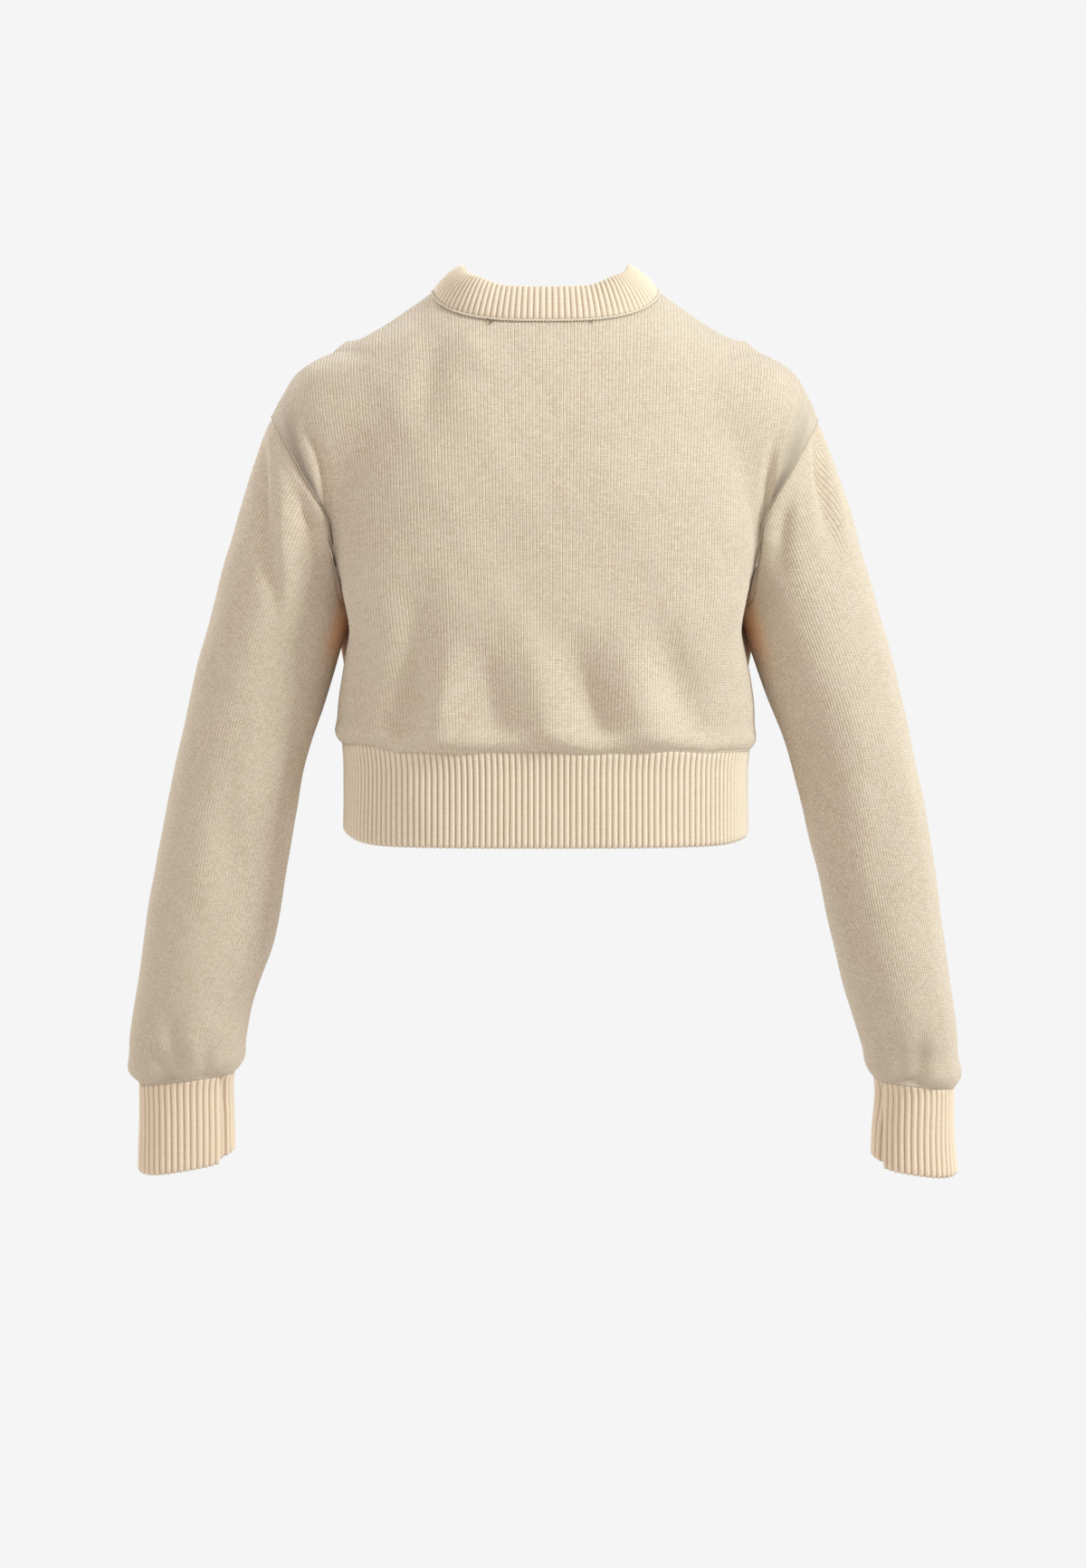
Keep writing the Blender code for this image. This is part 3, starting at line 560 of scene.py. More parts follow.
def sleeve_section(table, z):
    """Middle and half width of a sleeve, half its depth, and the middle of that depth."""
    names = ("outer", "inner", "half_depth", "middle_y")
    outer, inner, depth, middle_y = (smooth(table, name, z) for name in names)
    return (outer + inner) / 2, (outer - inner) / 2, depth, middle_y


def sleeve(p, table, side):
    x, y, z = p.T
    middle_x, half, depth, middle_y = sleeve_section(table, z)
    over_top = np.maximum(0.0, z - table["z"][-1])
    power = smooth(table, "power", z)
    return section_distance(x * side - middle_x, y - middle_y, half, depth, power) + over_top


def soft_join(a, b, width):
    """The nearer of two forms, with the hollow between them filled over a width."""
    mix = np.clip(0.5 + 0.5 * (b - a) / width, 0.0, 1.0)
    return b * (1 - mix) + a * mix - width * mix * (1 - mix)


SIDES = {"left": (SLEEVE_LEFT, 1.0), "right": (SLEEVE_RIGHT, -1.0)}


def armhole_x(y, z):
    """Distance from the middle of the garment to the surface that the armhole seam lies in."""
    return smooth(ARMHOLE, "x", z) - smooth(ARMHOLE, "drawn_in", z) * bell(y, DRAW_REACH)


def body_form(p):
    """The torso with both sleeves joined on, above the underarms only."""
    width = smooth(JOIN, "width", p[:, 2])
    apart = 2.0 * np.maximum(0.0, PARTING_Z - p[:, 2])
    left = sleeve(p, SLEEVE_LEFT, 1.0) + apart
    right = sleeve(p, SLEEVE_RIGHT, -1.0) + apart
    return soft_join(soft_join(torso(p), left, width), right, width)


def sleeve_form(side):
    """One sleeve with the torso joined on, above the underarm only."""
    table, sign = SIDES[side]

    def form(p):
        width = smooth(JOIN, "width", p[:, 2])
        apart = 2.0 * np.maximum(0.0, PARTING_Z - p[:, 2])
        past_seam = sign * p[:, 0] - armhole_x(p[:, 1], p[:, 2])
        apart += np.maximum(0.0, past_seam - PARTING_MARGIN)
        return soft_join(torso(p) + apart, sleeve(p, table, sign), width)

    return form


def slope(form, p, step=2e-5):
    """Gradient of a form, by small steps along each axis."""
    parts = []
    for k in range(3):
        shift = np.zeros(3)
        shift[k] = step
        parts.append((form(p + shift) - form(p - shift)) / (2 * step))
    return np.stack(parts, axis=1)


def outward(form, p):
    g = slope(form, p)
    return g / np.linalg.norm(g, axis=1, keepdims=True)


def normals_of(form, grid):
    """The form's own normals at each point of a grid."""
    return outward(form, grid.reshape(-1, 3)).reshape(grid.shape)


def onto(form, p, rounds=6):
    """Move points along the form's slope until they lie on it."""
    for _ in range(rounds):
        g = slope(form, p)
        p = p - (form(p) / np.maximum((g * g).sum(axis=1), 1e-9))[:, None] * g
    return p


def crossing(form, inside, outside):
    """Where straight lines from inside points to outside points cross the form."""
    low, high = np.zeros(len(inside)), np.ones(len(inside))
    for _ in range(HALVINGS):
        mid = (low + high) / 2
        p = inside + (outside - inside) * mid[:, None]
        is_in = form(p) < 0
        low, high = np.where(is_in, mid, low), np.where(is_in, high, mid)
    return inside + (outside - inside) * low[:, None]


# ---- seams ----
def armhole_half(side, face, count=ARMHOLE_ROWS):
    """Half of the armhole seam, from the shoulder tip to the underarm; face is 1 at the back."""
    sign = SIDES[side][1]
    form = sleeve_form(side)
    angle = np.linspace(0.0, math.pi, FINE)
    near, far = np.zeros(FINE), np.full(FINE, ARMHOLE_REACH)
    for _ in range(HALVINGS):
        reach = (near + far) / 2
        y = face * reach * np.sin(angle)
        z = ARMHOLE_MIDDLE + reach * np.cos(angle)
        curve = np.stack([sign * armhole_x(y, z), y, z], axis=1)
        is_in = form(curve) < 0
        near, far = np.where(is_in, reach, near), np.where(is_in, far, reach)
    curve[[0, -1], 1] = 0.0
    return evenly(curve, count)


def rib_side(side, z):
    """Points of the side line at given heights."""
    sign = SIDES[side][1]
    inner = np.stack([np.full(len(z), SIDE_START * sign), 0 * z, z], axis=1)
    return crossing(torso, inner, inner + np.array([SIDE_REACH * sign, 0.0, 0.0]))


def side_seam(side, count):
    """Side of the body from the underarm down to the rib."""
    start = armhole_half(side, 1)[-1]
    curve = rib_side(side, np.linspace(start[2], RIB_TOP, FINE))
    curve[0] = start
    return evenly(curve, count)


def neck_half(face, count):
    """Neck seam of one panel, from the right side neck point to the left."""
    drop = BACK_NECK_DROP if face > 0 else FRONT_NECK_DROP
    angle = np.linspace(-math.pi / 2, math.pi / 2, FINE)
    x = NECK_HALF_WIDTH * np.sin(angle)
    across = np.abs(x / NECK_HALF_WIDTH)
    roundness = BACK_NECK_ROUNDNESS if face > 0 else FRONT_NECK_ROUNDNESS
    z = -drop * np.sqrt(np.maximum(0.0, 1.0 - across**roundness))
    inner = np.stack([x, 0 * x, z], axis=1)
    curve = crossing(body_form, inner, inner + np.array([0.0, NECK_REACH * face, 0.0]))
    curve[[0, -1]] = [(-NECK_HALF_WIDTH, 0.0, 0.0), (NECK_HALF_WIDTH, 0.0, 0.0)]
    return evenly(curve, count)


def shoulder_seam(side, count):
    """Shoulder ridge from the side neck point out to the shoulder tip."""
    sign = SIDES[side][1]
    tip = armhole_half(side, 1)[0]
    x = np.linspace(NECK_HALF_WIDTH, abs(tip[0]), FINE) * sign
    low = np.stack([x, 0 * x, np.full(FINE, -SHOULDER_DEPTH)], axis=1)
    curve = crossing(body_form, low, low + np.array([0.0, 0.0, SHOULDER_REACH]))
    curve[0] = (sign * NECK_HALF_WIDTH, 0.0, 0.0)
    curve[-1] = tip
    return evenly(curve, count)


def level_half(face, z):
    """Half of the torso's section at a height, from the right side to the left."""
    angle = np.linspace(-math.pi / 2, math.pi / 2, FINE)
    inner = np.stack([0 * angle, 0 * angle, np.full(FINE, z)], axis=1)
    ray = np.stack([np.sin(angle), face * np.cos(angle), 0 * angle], axis=1)
    return crossing(torso, inner, inner + SECTION_REACH * ray)


# ---- panels ----
def sunk(heights):
    """How far down each point of a column lies, from 0 at its top to 1 at its foot."""
    depth = np.maximum.accumulate(heights[0] - heights)
    return depth / depth[-1]


def by_wales(points, count, pace=None):
    """count + 1 points of a row, spaced as its wales are: by their distance across in the
    middle of the body, where they run straight down, and by length towards the sides.

    Each half is even, unless a pace is given for its middle: its length at that spacing.
    """
    steps = np.diff(points, axis=0)
    middle = np.abs(points[1:, 0] + points[:-1, 0]) / 2
    straight = 1.0 - softly((middle - WALES_STRAIGHT) / WALES_TURN)
    length = straight * np.abs(steps[:, 0]) + (1 - straight) * np.linalg.norm(steps, axis=1)
    run = np.concatenate([[0.0], np.cumsum(length)])
    middle_at = np.interp(0.0, points[:, 0], run)
    t = np.linspace(-1.0, 1.0, count + 1)
    total = np.where(t < 0, middle_at, run[-1] - middle_at)
    if pace is None:
        pace = total
    at = middle_at + np.sign(t) * (pace * np.abs(t) + (total - pace) * np.abs(t) ** PACE_POWER)
    return np.stack([np.interp(at, run, points[:, k]) for k in range(3)], axis=1)


def settle(grid, form):
    """Even out a panel's grid between its edges, on the form.

    Rows are even by wales. Columns are even from the foot up, so that the courses lie level,
    and only near the top do they stretch to reach it. Near the sides they keep level with
    the seam beside them.
    """
    rows, cols = grid.shape[:2]
    down = np.linspace(0.0, 1.0, rows)
    half = (cols - 1) // 2
    paces = [np.linalg.norm(grid[r, half + 1] - grid[r, half]) * half for r in (0, -1)]
    for _ in range(SETTLE_ROUNDS):
        flat = onto(form, grid[1:-1, 1:-1].reshape(-1, 3), 2)
        grid[1:-1, 1:-1] = flat.reshape(rows - 2, cols - 2, 3)
        for r in range(1, rows - 1):
            pace = (1 - down[r]) * paces[0] + down[r] * paces[1]
            grid[r, 1:-1] = by_wales(grid[r], cols - 1, pace)[1:-1]
        centre = np.linalg.norm(np.diff(grid[:, cols // 2], axis=0), axis=1).sum()
        for c in range(1, cols - 1):
            edge = 0 if c < cols / 2 else cols - 1
            hold = max(0.0, 1.0 - abs(c - edge) / LEVEL_COLUMNS) ** 2
            level = np.interp(sunk(grid[:, edge, 2]), sunk(grid[:, c, 2]), along(grid[:, c]))
            length = np.linalg.norm(np.diff(grid[:, c], axis=0), axis=1).sum()
            up = (1 - down) * centre + (length - centre) * (1 - down) ** TOP_STRETCH
            share = hold * level + (1 - hold) * (1 - up / length)
            grid[1:-1, c] = at_fractions(grid[:, c], share)[1:-1]
    flat = onto(form, grid[1:-1, 1:-1].reshape(-1, 3))
    grid[1:-1, 1:-1] = flat.reshape(rows - 2, cols - 2, 3)
    return grid


def patch(top, foot, right, left):
    """A first grid between four edges; rows run from the right edge to the left one."""
    rows, cols = len(right), len(top)
    v = np.linspace(0.0, 1.0, rows)[:, None, None]
    u = np.linspace(0.0, 1.0, cols)[None, :, None]
    across = (1 - u) * right[:, None] + u * left[:, None]
    down = (1 - v) * top[None] + v * foot[None]
    upper = (1 - u) * top[0] + u * top[-1]
    lower = (1 - u) * foot[0] + u * foot[-1]
    return across + down - (1 - v) * upper - v * lower


def panel_top(face, count):
    """Top edge of a panel: a shoulder, the neck and the other shoulder, even by wales."""
    right, left = shoulder_seam("right", FINE), shoulder_seam("left", FINE)
    return by_wales(np.concatenate([right[:0:-1], neck_half(face, FINE), left[1:]]), count)


def panel_grid(face):
    """Back or front panel, from neck and shoulders down to the rib."""
    top = panel_top(face, PANEL_COLUMNS)
    foot = by_wales(level_half(face, RIB_TOP), PANEL_COLUMNS)
    edges = {}
    for side in SIDES:
        arm = armhole_half(side, face, PANEL_ARMHOLE_ROWS)
        edges[side] = np.concatenate([arm, side_seam(side, PANEL_SIDE_ROWS)[1:]])
        foot[0 if side == "right" else -1] = edges[side][-1]
        top[0 if side == "right" else -1] = arm[0]
    return settle(patch(top, foot, edges["right"], edges["left"]), body_form)


def cuff_ring(side, middle_z, tilt, count=ARMHOLE_ROWS):
    """A closed ring round the sleeve, from its outer edge over the back to the inside."""
    table, sign = SIDES[side]
    halves = []
    for start in (0.0, math.pi):
        angle = np.linspace(start, start + math.pi, FINE)
        z = np.full(FINE, middle_z)
        for _ in range(RING_ROUNDS):
            middle_x, half, depth, middle_y = sleeve_section(table, z)
            x = np.cos(angle) * half
            z = middle_z - tilt * x
        p = np.stack([sign * (x + middle_x), middle_y + depth * np.sin(angle), z], axis=1)
        halves.append(evenly(onto(lambda q: sleeve(q, table, sign), p), count))
    return np.concatenate([halves[0], halves[1][1:]])


def sleeve_grid(side):
    """Sleeve as a tube from the armhole to the cuff; the first and last columns coincide."""
    back, front = armhole_half(side, 1), armhole_half(side, -1)
    loop = np.concatenate([back, front[-2::-1]])
    cuff = cuff_ring(side, CUFFS[side]["top"], CUFFS[side]["top_tilt"])
    t = np.linspace(0.0, 1.0, SLEEVE_ROWS + 1)[:, None, None]
    grid = (1 - t) * loop[None] + t * cuff[None]
    form = sleeve_form(side)
    rows, cols = grid.shape[:2]
    inside = slice(1, rows - 1)
    for _ in range(SETTLE_ROUNDS):
        flat = onto(form, grid[inside].reshape(-1, 3), 2)
        grid[inside] = flat.reshape(rows - 2, cols, 3)
        for c in range(cols):
            grid[:, c] = evenly(grid[:, c], rows - 1)
        half = (cols - 1) // 2
        for r in range(1, rows - 1):
            first = evenly(grid[r, :half + 1], half)
            second = evenly(grid[r, half:], half)
            grid[r] = np.concatenate([first, second[1:]])
    flat = onto(form, grid[inside].reshape(-1, 3))
    grid[inside] = flat.reshape(rows - 2, cols, 3)
    grid[:, -1] = grid[:, 0]
    return grid


# ---- fine grids ----
def finer(values, at):
    """Rows of values read between their places, on a smooth curve through all of them."""
    i = np.clip(np.floor(at).astype(int), 0, len(values) - 2)
    t = (at - i).reshape(-1, *[1] * (values.ndim - 1))
    rise = np.gradient(values, axis=0)
    start = (1 + 2 * t) * (1 - t) ** 2 * values[i] + t * (1 - t) ** 2 * rise[i]
    end = t * t * (3 - 2 * t) * values[i + 1] - t * t * (1 - t) * rise[i + 1]
    return start + end


def finer_round(values, at):
    """The same for a closed ring whose last row repeats its first."""
    ring = np.concatenate([values[-3:-1], values, values[1:3]])
    return finer(ring, at + 2)


def closer_at_ends(total, count, share):
    """count + 1 places from 0 to total, closer together at both ends."""
    s = np.linspace(0.0, 1.0, count + 1)
    return total * (s - share * np.sin(2 * math.pi * s) / (2 * math.pi))


def run_of(grid, axis):
    """Distance along the rows or the columns of a grid."""
    steps = np.linalg.norm(np.diff(grid, axis=axis), axis=2)
    run = np.cumsum(steps, axis=axis)
    start = np.zeros_like(np.take(run, [0], axis=axis))
    return np.concatenate([start, run], axis=axis)


def facing(grid, closed_round, like=None):
    """Unit normals of a grid; like gives the side they should point to."""
    if closed_round:
        across = np.roll(grid, -1, axis=1) - np.roll(grid, 1, axis=1)
    else:
        across = np.gradient(grid, axis=1)
    n = np.cross(across, np.gradient(grid, axis=0))
    n /= np.maximum(np.linalg.norm(n, axis=2, keepdims=True), 1e-12)
    if like is not None:
        n *= np.sign((n * like).sum(axis=2, keepdims=True))
    return n


def meet(grid, rows_at, top, foot, right=None, left=None):
    """Bring the borders of a grid onto their exact lines; the move dies out within a row."""
    near_top = np.clip(1.0 - rows_at / BORDER_REACH, 0.0, 1.0)[:, None, None]
    near_foot = np.clip(1.0 - (rows_at[-1] - rows_at) / BORDER_REACH, 0.0, 1.0)[:, None, None]
    grid = grid + (top - grid[0])[None] * near_top + (foot - grid[-1])[None] * near_foot
    if right is not None:
        cols = grid.shape[1]
        reach = BORDER_REACH * cols / PANEL_COLUMNS
        from_right = np.arange(cols)
        near_right = np.clip(1.0 - from_right / reach, 0.0, 1.0)[None, :, None]
        near_left = near_right[:, ::-1]
        grid = grid + (right - grid[:, 0])[:, None] * near_right
        grid = grid + (left - grid[:, -1])[:, None] * near_left
    return grid


def fine_panel(face):
    """Back or front panel as a fine grid, four mesh columns to each wale."""
    control = panel_grid(face)
    spans = control.shape[1] - 1
    each = PANEL_WALES * WALE_COLUMNS // spans
    rows_at = closer_at_ends(control.shape[0] - 1, PANEL_MESH_ROWS, PANEL_CROWDING)
    grid = finer(control, rows_at)
    grid = finer(grid.swapaxes(0, 1), np.arange(spans * each + 1) / each).swapaxes(0, 1)
    top = panel_top(face, spans * each)
    foot = by_wales(level_half(face, RIB_TOP), spans * each)
    sides = []
    for side in ("right", "left"):
        arm = armhole_half(side, face, FINE)
        seam = side_seam(side, FINE)
        above = rows_at <= PANEL_ARMHOLE_ROWS
        on_arm = at_fractions(arm, rows_at[above] / PANEL_ARMHOLE_ROWS)
        below = (rows_at[~above] - PANEL_ARMHOLE_ROWS) / PANEL_SIDE_ROWS
        sides.append(np.concatenate([on_arm, at_fractions(seam, below)]))
    foot[0], foot[-1] = sides[0][-1], sides[1][-1]
    top[0], top[-1] = sides[0][0], sides[1][0]
    grid = meet(grid, rows_at, top, foot, *sides)
    inner = grid[1:-1, 1:-1]
    grid[1:-1, 1:-1] = onto(body_form, inner.reshape(-1, 3), 2).reshape(inner.shape)
    return wandering(grid)


def fine_sleeve(side):
    """Sleeve as a fine tube; its last column repeats its first."""
    control = sleeve_grid(side)
    spans = control.shape[1] - 1
    each = SLEEVE_WALES * WALE_COLUMNS // spans
    rows_at = closer_at_ends(SLEEVE_ROWS, SLEEVE_MESH_ROWS, SLEEVE_CROWDING)
    grid = finer(control, rows_at)
    grid = finer_round(grid.swapaxes(0, 1), np.arange(spans * each + 1) / each).swapaxes(0, 1)
    back = armhole_half(side, 1, ARMHOLE_ROWS * each)
    front = armhole_half(side, -1, ARMHOLE_ROWS * each)
    top = np.concatenate([back, front[-2::-1]])
    cuff = CUFFS[side]
    foot = cuff_ring(side, cuff["top"], cuff["top_tilt"], ARMHOLE_ROWS * each)
    grid = meet(grid, rows_at, top, foot)
    inner = grid[1:-1]
    grid[1:-1] = onto(sleeve_form(side), inner.reshape(-1, 3), 2).reshape(inner.shape)
    return grid[:, :-1]


def fine_hem(face):
    """Hem rib of one panel, its columns in line with the panel's."""
    cols = HEM_RIBS * RIB_COLUMNS
    z = np.linspace(RIB_TOP, HEM, HEM_MESH_ROWS + 1)
    right, left = rib_side("right", z), rib_side("left", z)
    rows = []
    for i, height in enumerate(z):
        row = by_wales(level_half(face, height), cols)
        row[0], row[-1] = right[i], left[i]
        rows.append(row)
    grid = np.array(rows)
    x = grid[..., 0]
    low = np.linspace(0.0, 1.0, HEM_MESH_ROWS + 1)[:, None] ** 3
    reach = np.abs(x) / np.abs(x).max(axis=1, keepdims=True)
    grid[..., 2] += np.where(x > 0, *HEM_CORNERS) * low * reach**HEM_CORNER_POWER
    return wandering(grid)


def wandering(grid):
    """Let the line where jersey turns to rib wander a little up and down."""
    x = grid[..., 0]
    rise = RIB_RISE * softly((x - RIB_RISE_FROM) / RIB_RISE_OVER)
    for length, phase, height in RIB_WAVES:
        rise = rise + height * np.sin(2 * math.pi * x / length + phase)
    moved = grid.copy()
    moved[..., 2] += rise * bell(grid[..., 2] - RIB_TOP, RIB_WANDER_REACH)
    return moved


def fine_cuff(side):
    cuff = CUFFS[side]
    half = CUFF_RIBS * RIB_COLUMNS // 2
    heights = np.linspace(cuff["top"], cuff["bottom"], CUFF_MESH_ROWS + 1)
    tilts = np.linspace(cuff["top_tilt"], cuff["bottom_tilt"], CUFF_MESH_ROWS + 1)
    rings = [cuff_ring(side, z, tilt, half) for z, tilt in zip(heights, tilts)]
    grid = np.array(rings)[:, :-1]
    low = np.linspace(0.0, 1.0, CUFF_MESH_ROWS + 1)[:, None] ** 3
    x = grid[..., 0]
    middle = (x.max(axis=1, keepdims=True) + x.min(axis=1, keepdims=True)) / 2
    reach = np.abs(x - middle) / (x.max(axis=1, keepdims=True) - middle)
    grid[..., 2] += CUFF_CORNER * low * reach**CORNER_POWER
    for _, at, width, _, step in CUFF_GROOVES[side]:
        past = softly(SIDES[side][1] * (at - x) / (CUFF_STEP_TURN * width) + 0.5)
        grid[..., 2] += step * low * past
    return grid


# ---- folds and seams ----
def fold_push(points, folds):
    """How far each point moves outwards for the folds of a table, seen from front or back."""
    flat = points[..., [0, 2]].reshape(-1, 2)
    push = np.zeros(len(flat))
    s = np.linspace(0.0, 1.0, FOLD_STEPS)[:, None]
    for *path, width, depth, peak in metres(folds, FOLD_PLAIN):
        top, mid, low = np.array(path).reshape(3, 2)
        bend = (1 - s) ** 2 * top + s * s * low + 2 * s * (1 - s) * (2 * mid - (top + low) / 2)
        nearest, place = np.full(len(flat), np.inf), np.zeros(len(flat))
        for k in range(FOLD_STEPS - 1):
            line = bend[k + 1] - bend[k]
            t = np.clip((flat - bend[k]) @ line / (line @ line), 0.0, 1.0)
            gap = np.linalg.norm(flat - bend[k] - t[:, None] * line, axis=1)
            closer = gap < nearest
            nearest = np.where(closer, gap, nearest)
            place = np.where(closer, (k + t) / (FOLD_STEPS - 1), place)
        rise, fall = 2 * peak, 2 * (1 - peak)
        strength = place**rise * (1 - place) ** fall / (peak**rise * (1 - peak) ** fall)
        push += depth * strength * bell(nearest, width)
    return push.reshape(points.shape[:-1])


def unevenness(points, amount):
    """Soft hand-sized waves of cloth, never quite flat: a sum of slanting ripples."""
    total = np.zeros(points.shape[:-1])
    for x, y, z, phase, share in RIPPLES:
        total += share * np.sin((points @ np.array([x, y, z])) * 2 * math.pi + phase)
    return amount * total


def bloused(from_foot, amount, at, width):
    """Cloth standing out where it gathers above a rib."""
    return amount * bell(from_foot - at, width) * softly(from_foot / CREASE_FADE)


def under_arm(z):
    """Where bounce light is painted: 1 at the armpit, fading above and below it."""
    return bell(z - BOUNCE_LIGHT_PEAK, np.where(z > BOUNCE_LIGHT_PEAK, BOUNCE_LIGHT_ABOVE, BOUNCE_LIGHT_BELOW))


def lipped(distance):
    """Edge that stands a little proud of the seam and drops into it."""
    ridge = SEAM_LIP * bell(distance - SEAM_LIP_AT, SEAM_LIP_WIDTH)
    return ridge - SEAM_DIP * bell(distance, SEAM_DIP_WIDTH)


def sunken(distance):
    """Edge that only dips to the seam."""
    return -SEAM_DIP * bell(distance, SEAM_SINK_WIDTH)


# ---- knit relief ----
def jersey_relief(cols, closed_round):
    """Height of the wales across a row of mesh columns, and the wale number of each."""
    wale = np.arange(cols) / WALE_COLUMNS
    height = np.sqrt(np.abs(np.sin(math.pi * wale)))
    if not closed_round:
        height[[0, -1]] = 0.0
    return height - RELIEF_LEVEL, wale


def rib_relief(cols):
    """Broad rounded ridges with narrow valleys, and the rib number of each mesh column."""
    rib = np.arange(cols) / RIB_COLUMNS
    height = (0.5 - 0.5 * np.cos(2 * math.pi * rib)) ** RIB_BREADTH
    return height - RELIEF_LEVEL, rib


def relieved(grid, closed_round, height, like):
    """The grid with the relief of the knit added along its own normals."""
    return grid + height[..., None] * facing(grid, closed_round, like)


# ---- meshes ----
def add_piece(name, vertices, faces, material, maps=(), node=None):
    """One visible mesh with its maps and material, on the root body, with its node's CAD part
    hidden.
    """
    mesh = bpy.data.meshes.new(name)
    mesh.from_pydata(vertices.tolist(), [], faces)
    mesh.shade_smooth()
    for map_name, parts in maps:
        layer = mesh.uv_layers.new(name=map_name)
        flat = np.concatenate([part.reshape(-1, 2) for part in parts])
        layer.data.foreach_set("uv", flat.astype(np.float32).ravel())
    mesh.materials.append(material)
    obj = bpy.data.objects.new(name, mesh)
    bpy.context.scene.collection.objects.link(obj)
    if node:
        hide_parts(node)
    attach(obj, "root")
    return obj


def quads(r_count, c_count, width, start=0, flip=False):
    """Faces of a grid whose columns wrap at width, and the row and column of each corner."""
    r, c = np.meshgrid(np.arange(r_count), np.arange(c_count), indexing="ij")
    r, c = r.ravel(), c.ravel()
    corners = [(r, c), (r + 1, c), (r + 1, c + 1), (r, c + 1)]
    if flip:
        corners.reverse()
    ids = np.stack([start + a * width + b % width for a, b in corners], axis=1)
    places = np.stack([np.stack([a, b], axis=1) for a, b in corners], axis=1)
    return ids, places


def knit_map(places, u, v, cols):
    """Wale and course of each corner, for the stitches."""
    course = v[places[..., 0], places[..., 1] % cols]
    return np.stack([places[..., 1] * (u[1] - u[0]), course], axis=-1)


def bake_map(places, spans, rows, start, height):
    """Each corner on the bake map: across all of it, and from start over a share of it."""
    across = MAP_EDGE + MAP_WIDTH * places[..., 1] / spans
    return np.stack([across, start + height * places[..., 0] / rows], axis=-1)


def shell(name, outer, inner, closed_round, u, v, material, bounce_light):
    """A closed thin shell: a fine outer face, a coarser inner one, and rims of long faces.

    u and v count wales and courses of the outer grid for the stitches.
    """
    rows, cols = outer.shape[:2]
    low_rows, low_cols = inner.shape[:2]
    spans = cols if closed_round else cols - 1
    low_spans = low_cols if closed_round else low_cols - 1
    step_r, step_c = (rows - 1) // (low_rows - 1), spans // low_spans
    base = rows * cols
    vertices = np.concatenate([outer.reshape(-1, 3), inner.reshape(-1, 3)])
    ids_out, at_out = quads(rows - 1, spans, cols)
    ids_in, at_in = quads(low_rows - 1, low_spans, low_cols, base, True)
    rims = []
    for r, low_r, forward in ((0, 0, True), (rows - 1, low_rows - 1, False)):
        for c in range(low_spans):
            fine = [(r, c * step_c + k) for k in range(step_c + 1)]
            rims.append((fine, [(low_r, c + 1), (low_r, c)], forward))
    if not closed_round:
        for c, low_c, forward in ((0, 0, False), (cols - 1, low_cols - 1, True)):
            for r in range(low_rows - 1):
                fine = [(r * step_r + k, c) for k in range(step_r + 1)]
                rims.append((fine, [(r + 1, low_c), (r, low_c)], forward))

    a, b, c, d = (vertices[ids_out[:, k]] for k in range(4))
    out_to = a - inner[at_out[:, 0, 0] // step_r, (at_out[:, 0, 1] // step_c) % low_cols]
    inside_out = (np.cross(c - a, d - b) * out_to).sum() < 0
    if inside_out:
        ids_out, at_out = ids_out[:, ::-1], at_out[:, ::-1]
        ids_in, at_in = ids_in[:, ::-1], at_in[:, ::-1]
    rim_faces, rim_at = [], []
    for fine, coarse, forward in rims:
        ids = [r * cols + c % cols for r, c in fine]
        ids += [base + r * low_cols + c % low_cols for r, c in coarse]
        turn = 1 if forward != inside_out else -1
        rim_faces.append(ids[::turn])
        rim_at += (fine + [fine[-1], fine[0]])[::turn]
    rim_at = np.array(rim_at)

    outer_place = (spans, rows - 1, 1 - MAP_EDGE, MAP_EDGE - OUTER_MAP)
    inner_place = (low_spans, low_rows - 1, MAP_EDGE, 1 - OUTER_MAP - 3 * MAP_EDGE)
    fine_in = at_in * np.array([step_r, step_c])
    maps = [
        ("knit", [knit_map(at, u, v, cols) for at in (at_out, fine_in, rim_at)]),
        ("OFBake", [
            bake_map(at_out, *outer_place),
            bake_map(at_in, *inner_place),
            bake_map(rim_at, *outer_place),
        ]),
    ]
    faces = ids_out.tolist() + ids_in.tolist() + rim_faces
    obj = add_piece(name + "_knit", vertices, faces, material, maps, name)
    # Painted bounce light: each point's share of the warm glow, kept as an attribute for the wool.
    layer = obj.data.attributes.new("bounce_light", "FLOAT", "POINT")
    bounce_light_points = np.concatenate([bounce_light.ravel(), bounce_light[::step_r, ::step_c].ravel()])
    layer.data.foreach_set("value", bounce_light_points.astype(np.float32))
    return obj


def piece(name, outer, thickness, closed_round, u, v, material, coarse, bounce_light):
    """Finish a knitted piece with its inner face, a wall's thickness in."""
    normals = facing(outer, closed_round)
    if (normals * (outer - outer.mean(axis=(0, 1)))).sum() < 0:
        normals = -normals
    inner = (outer - thickness * normals)[::coarse[0], ::coarse[1]]
    return shell(name, outer, inner, closed_round, u, v, material, bounce_light)


def ring_piece(name, outer, u, v, material):
    """A closed ring of rows whose last row joins its first, as round a hose."""
    rows, cols = outer.shape[:2]
    ids, places = quads(rows, cols, cols)
    ids = ids % (rows * cols)
    vertices = outer.reshape(-1, 3)
    a, b, c, d = (vertices[ids[:, k]] for k in range(4))
    if (a * np.cross(b, c)).sum() + (a * np.cross(c, d)).sum() < 0:
        ids, places = ids[:, ::-1], places[:, ::-1]
    v_ring = np.concatenate([v, v[-1:] + 1.0])
    maps = [
        ("knit", [knit_map(places, u, v_ring, cols)]),
        ("OFBake", [bake_map(places, cols, rows, MAP_EDGE, MAP_WIDTH)]),
    ]
    return add_piece(name + "_knit", vertices, ids.tolist(), material, maps, name)


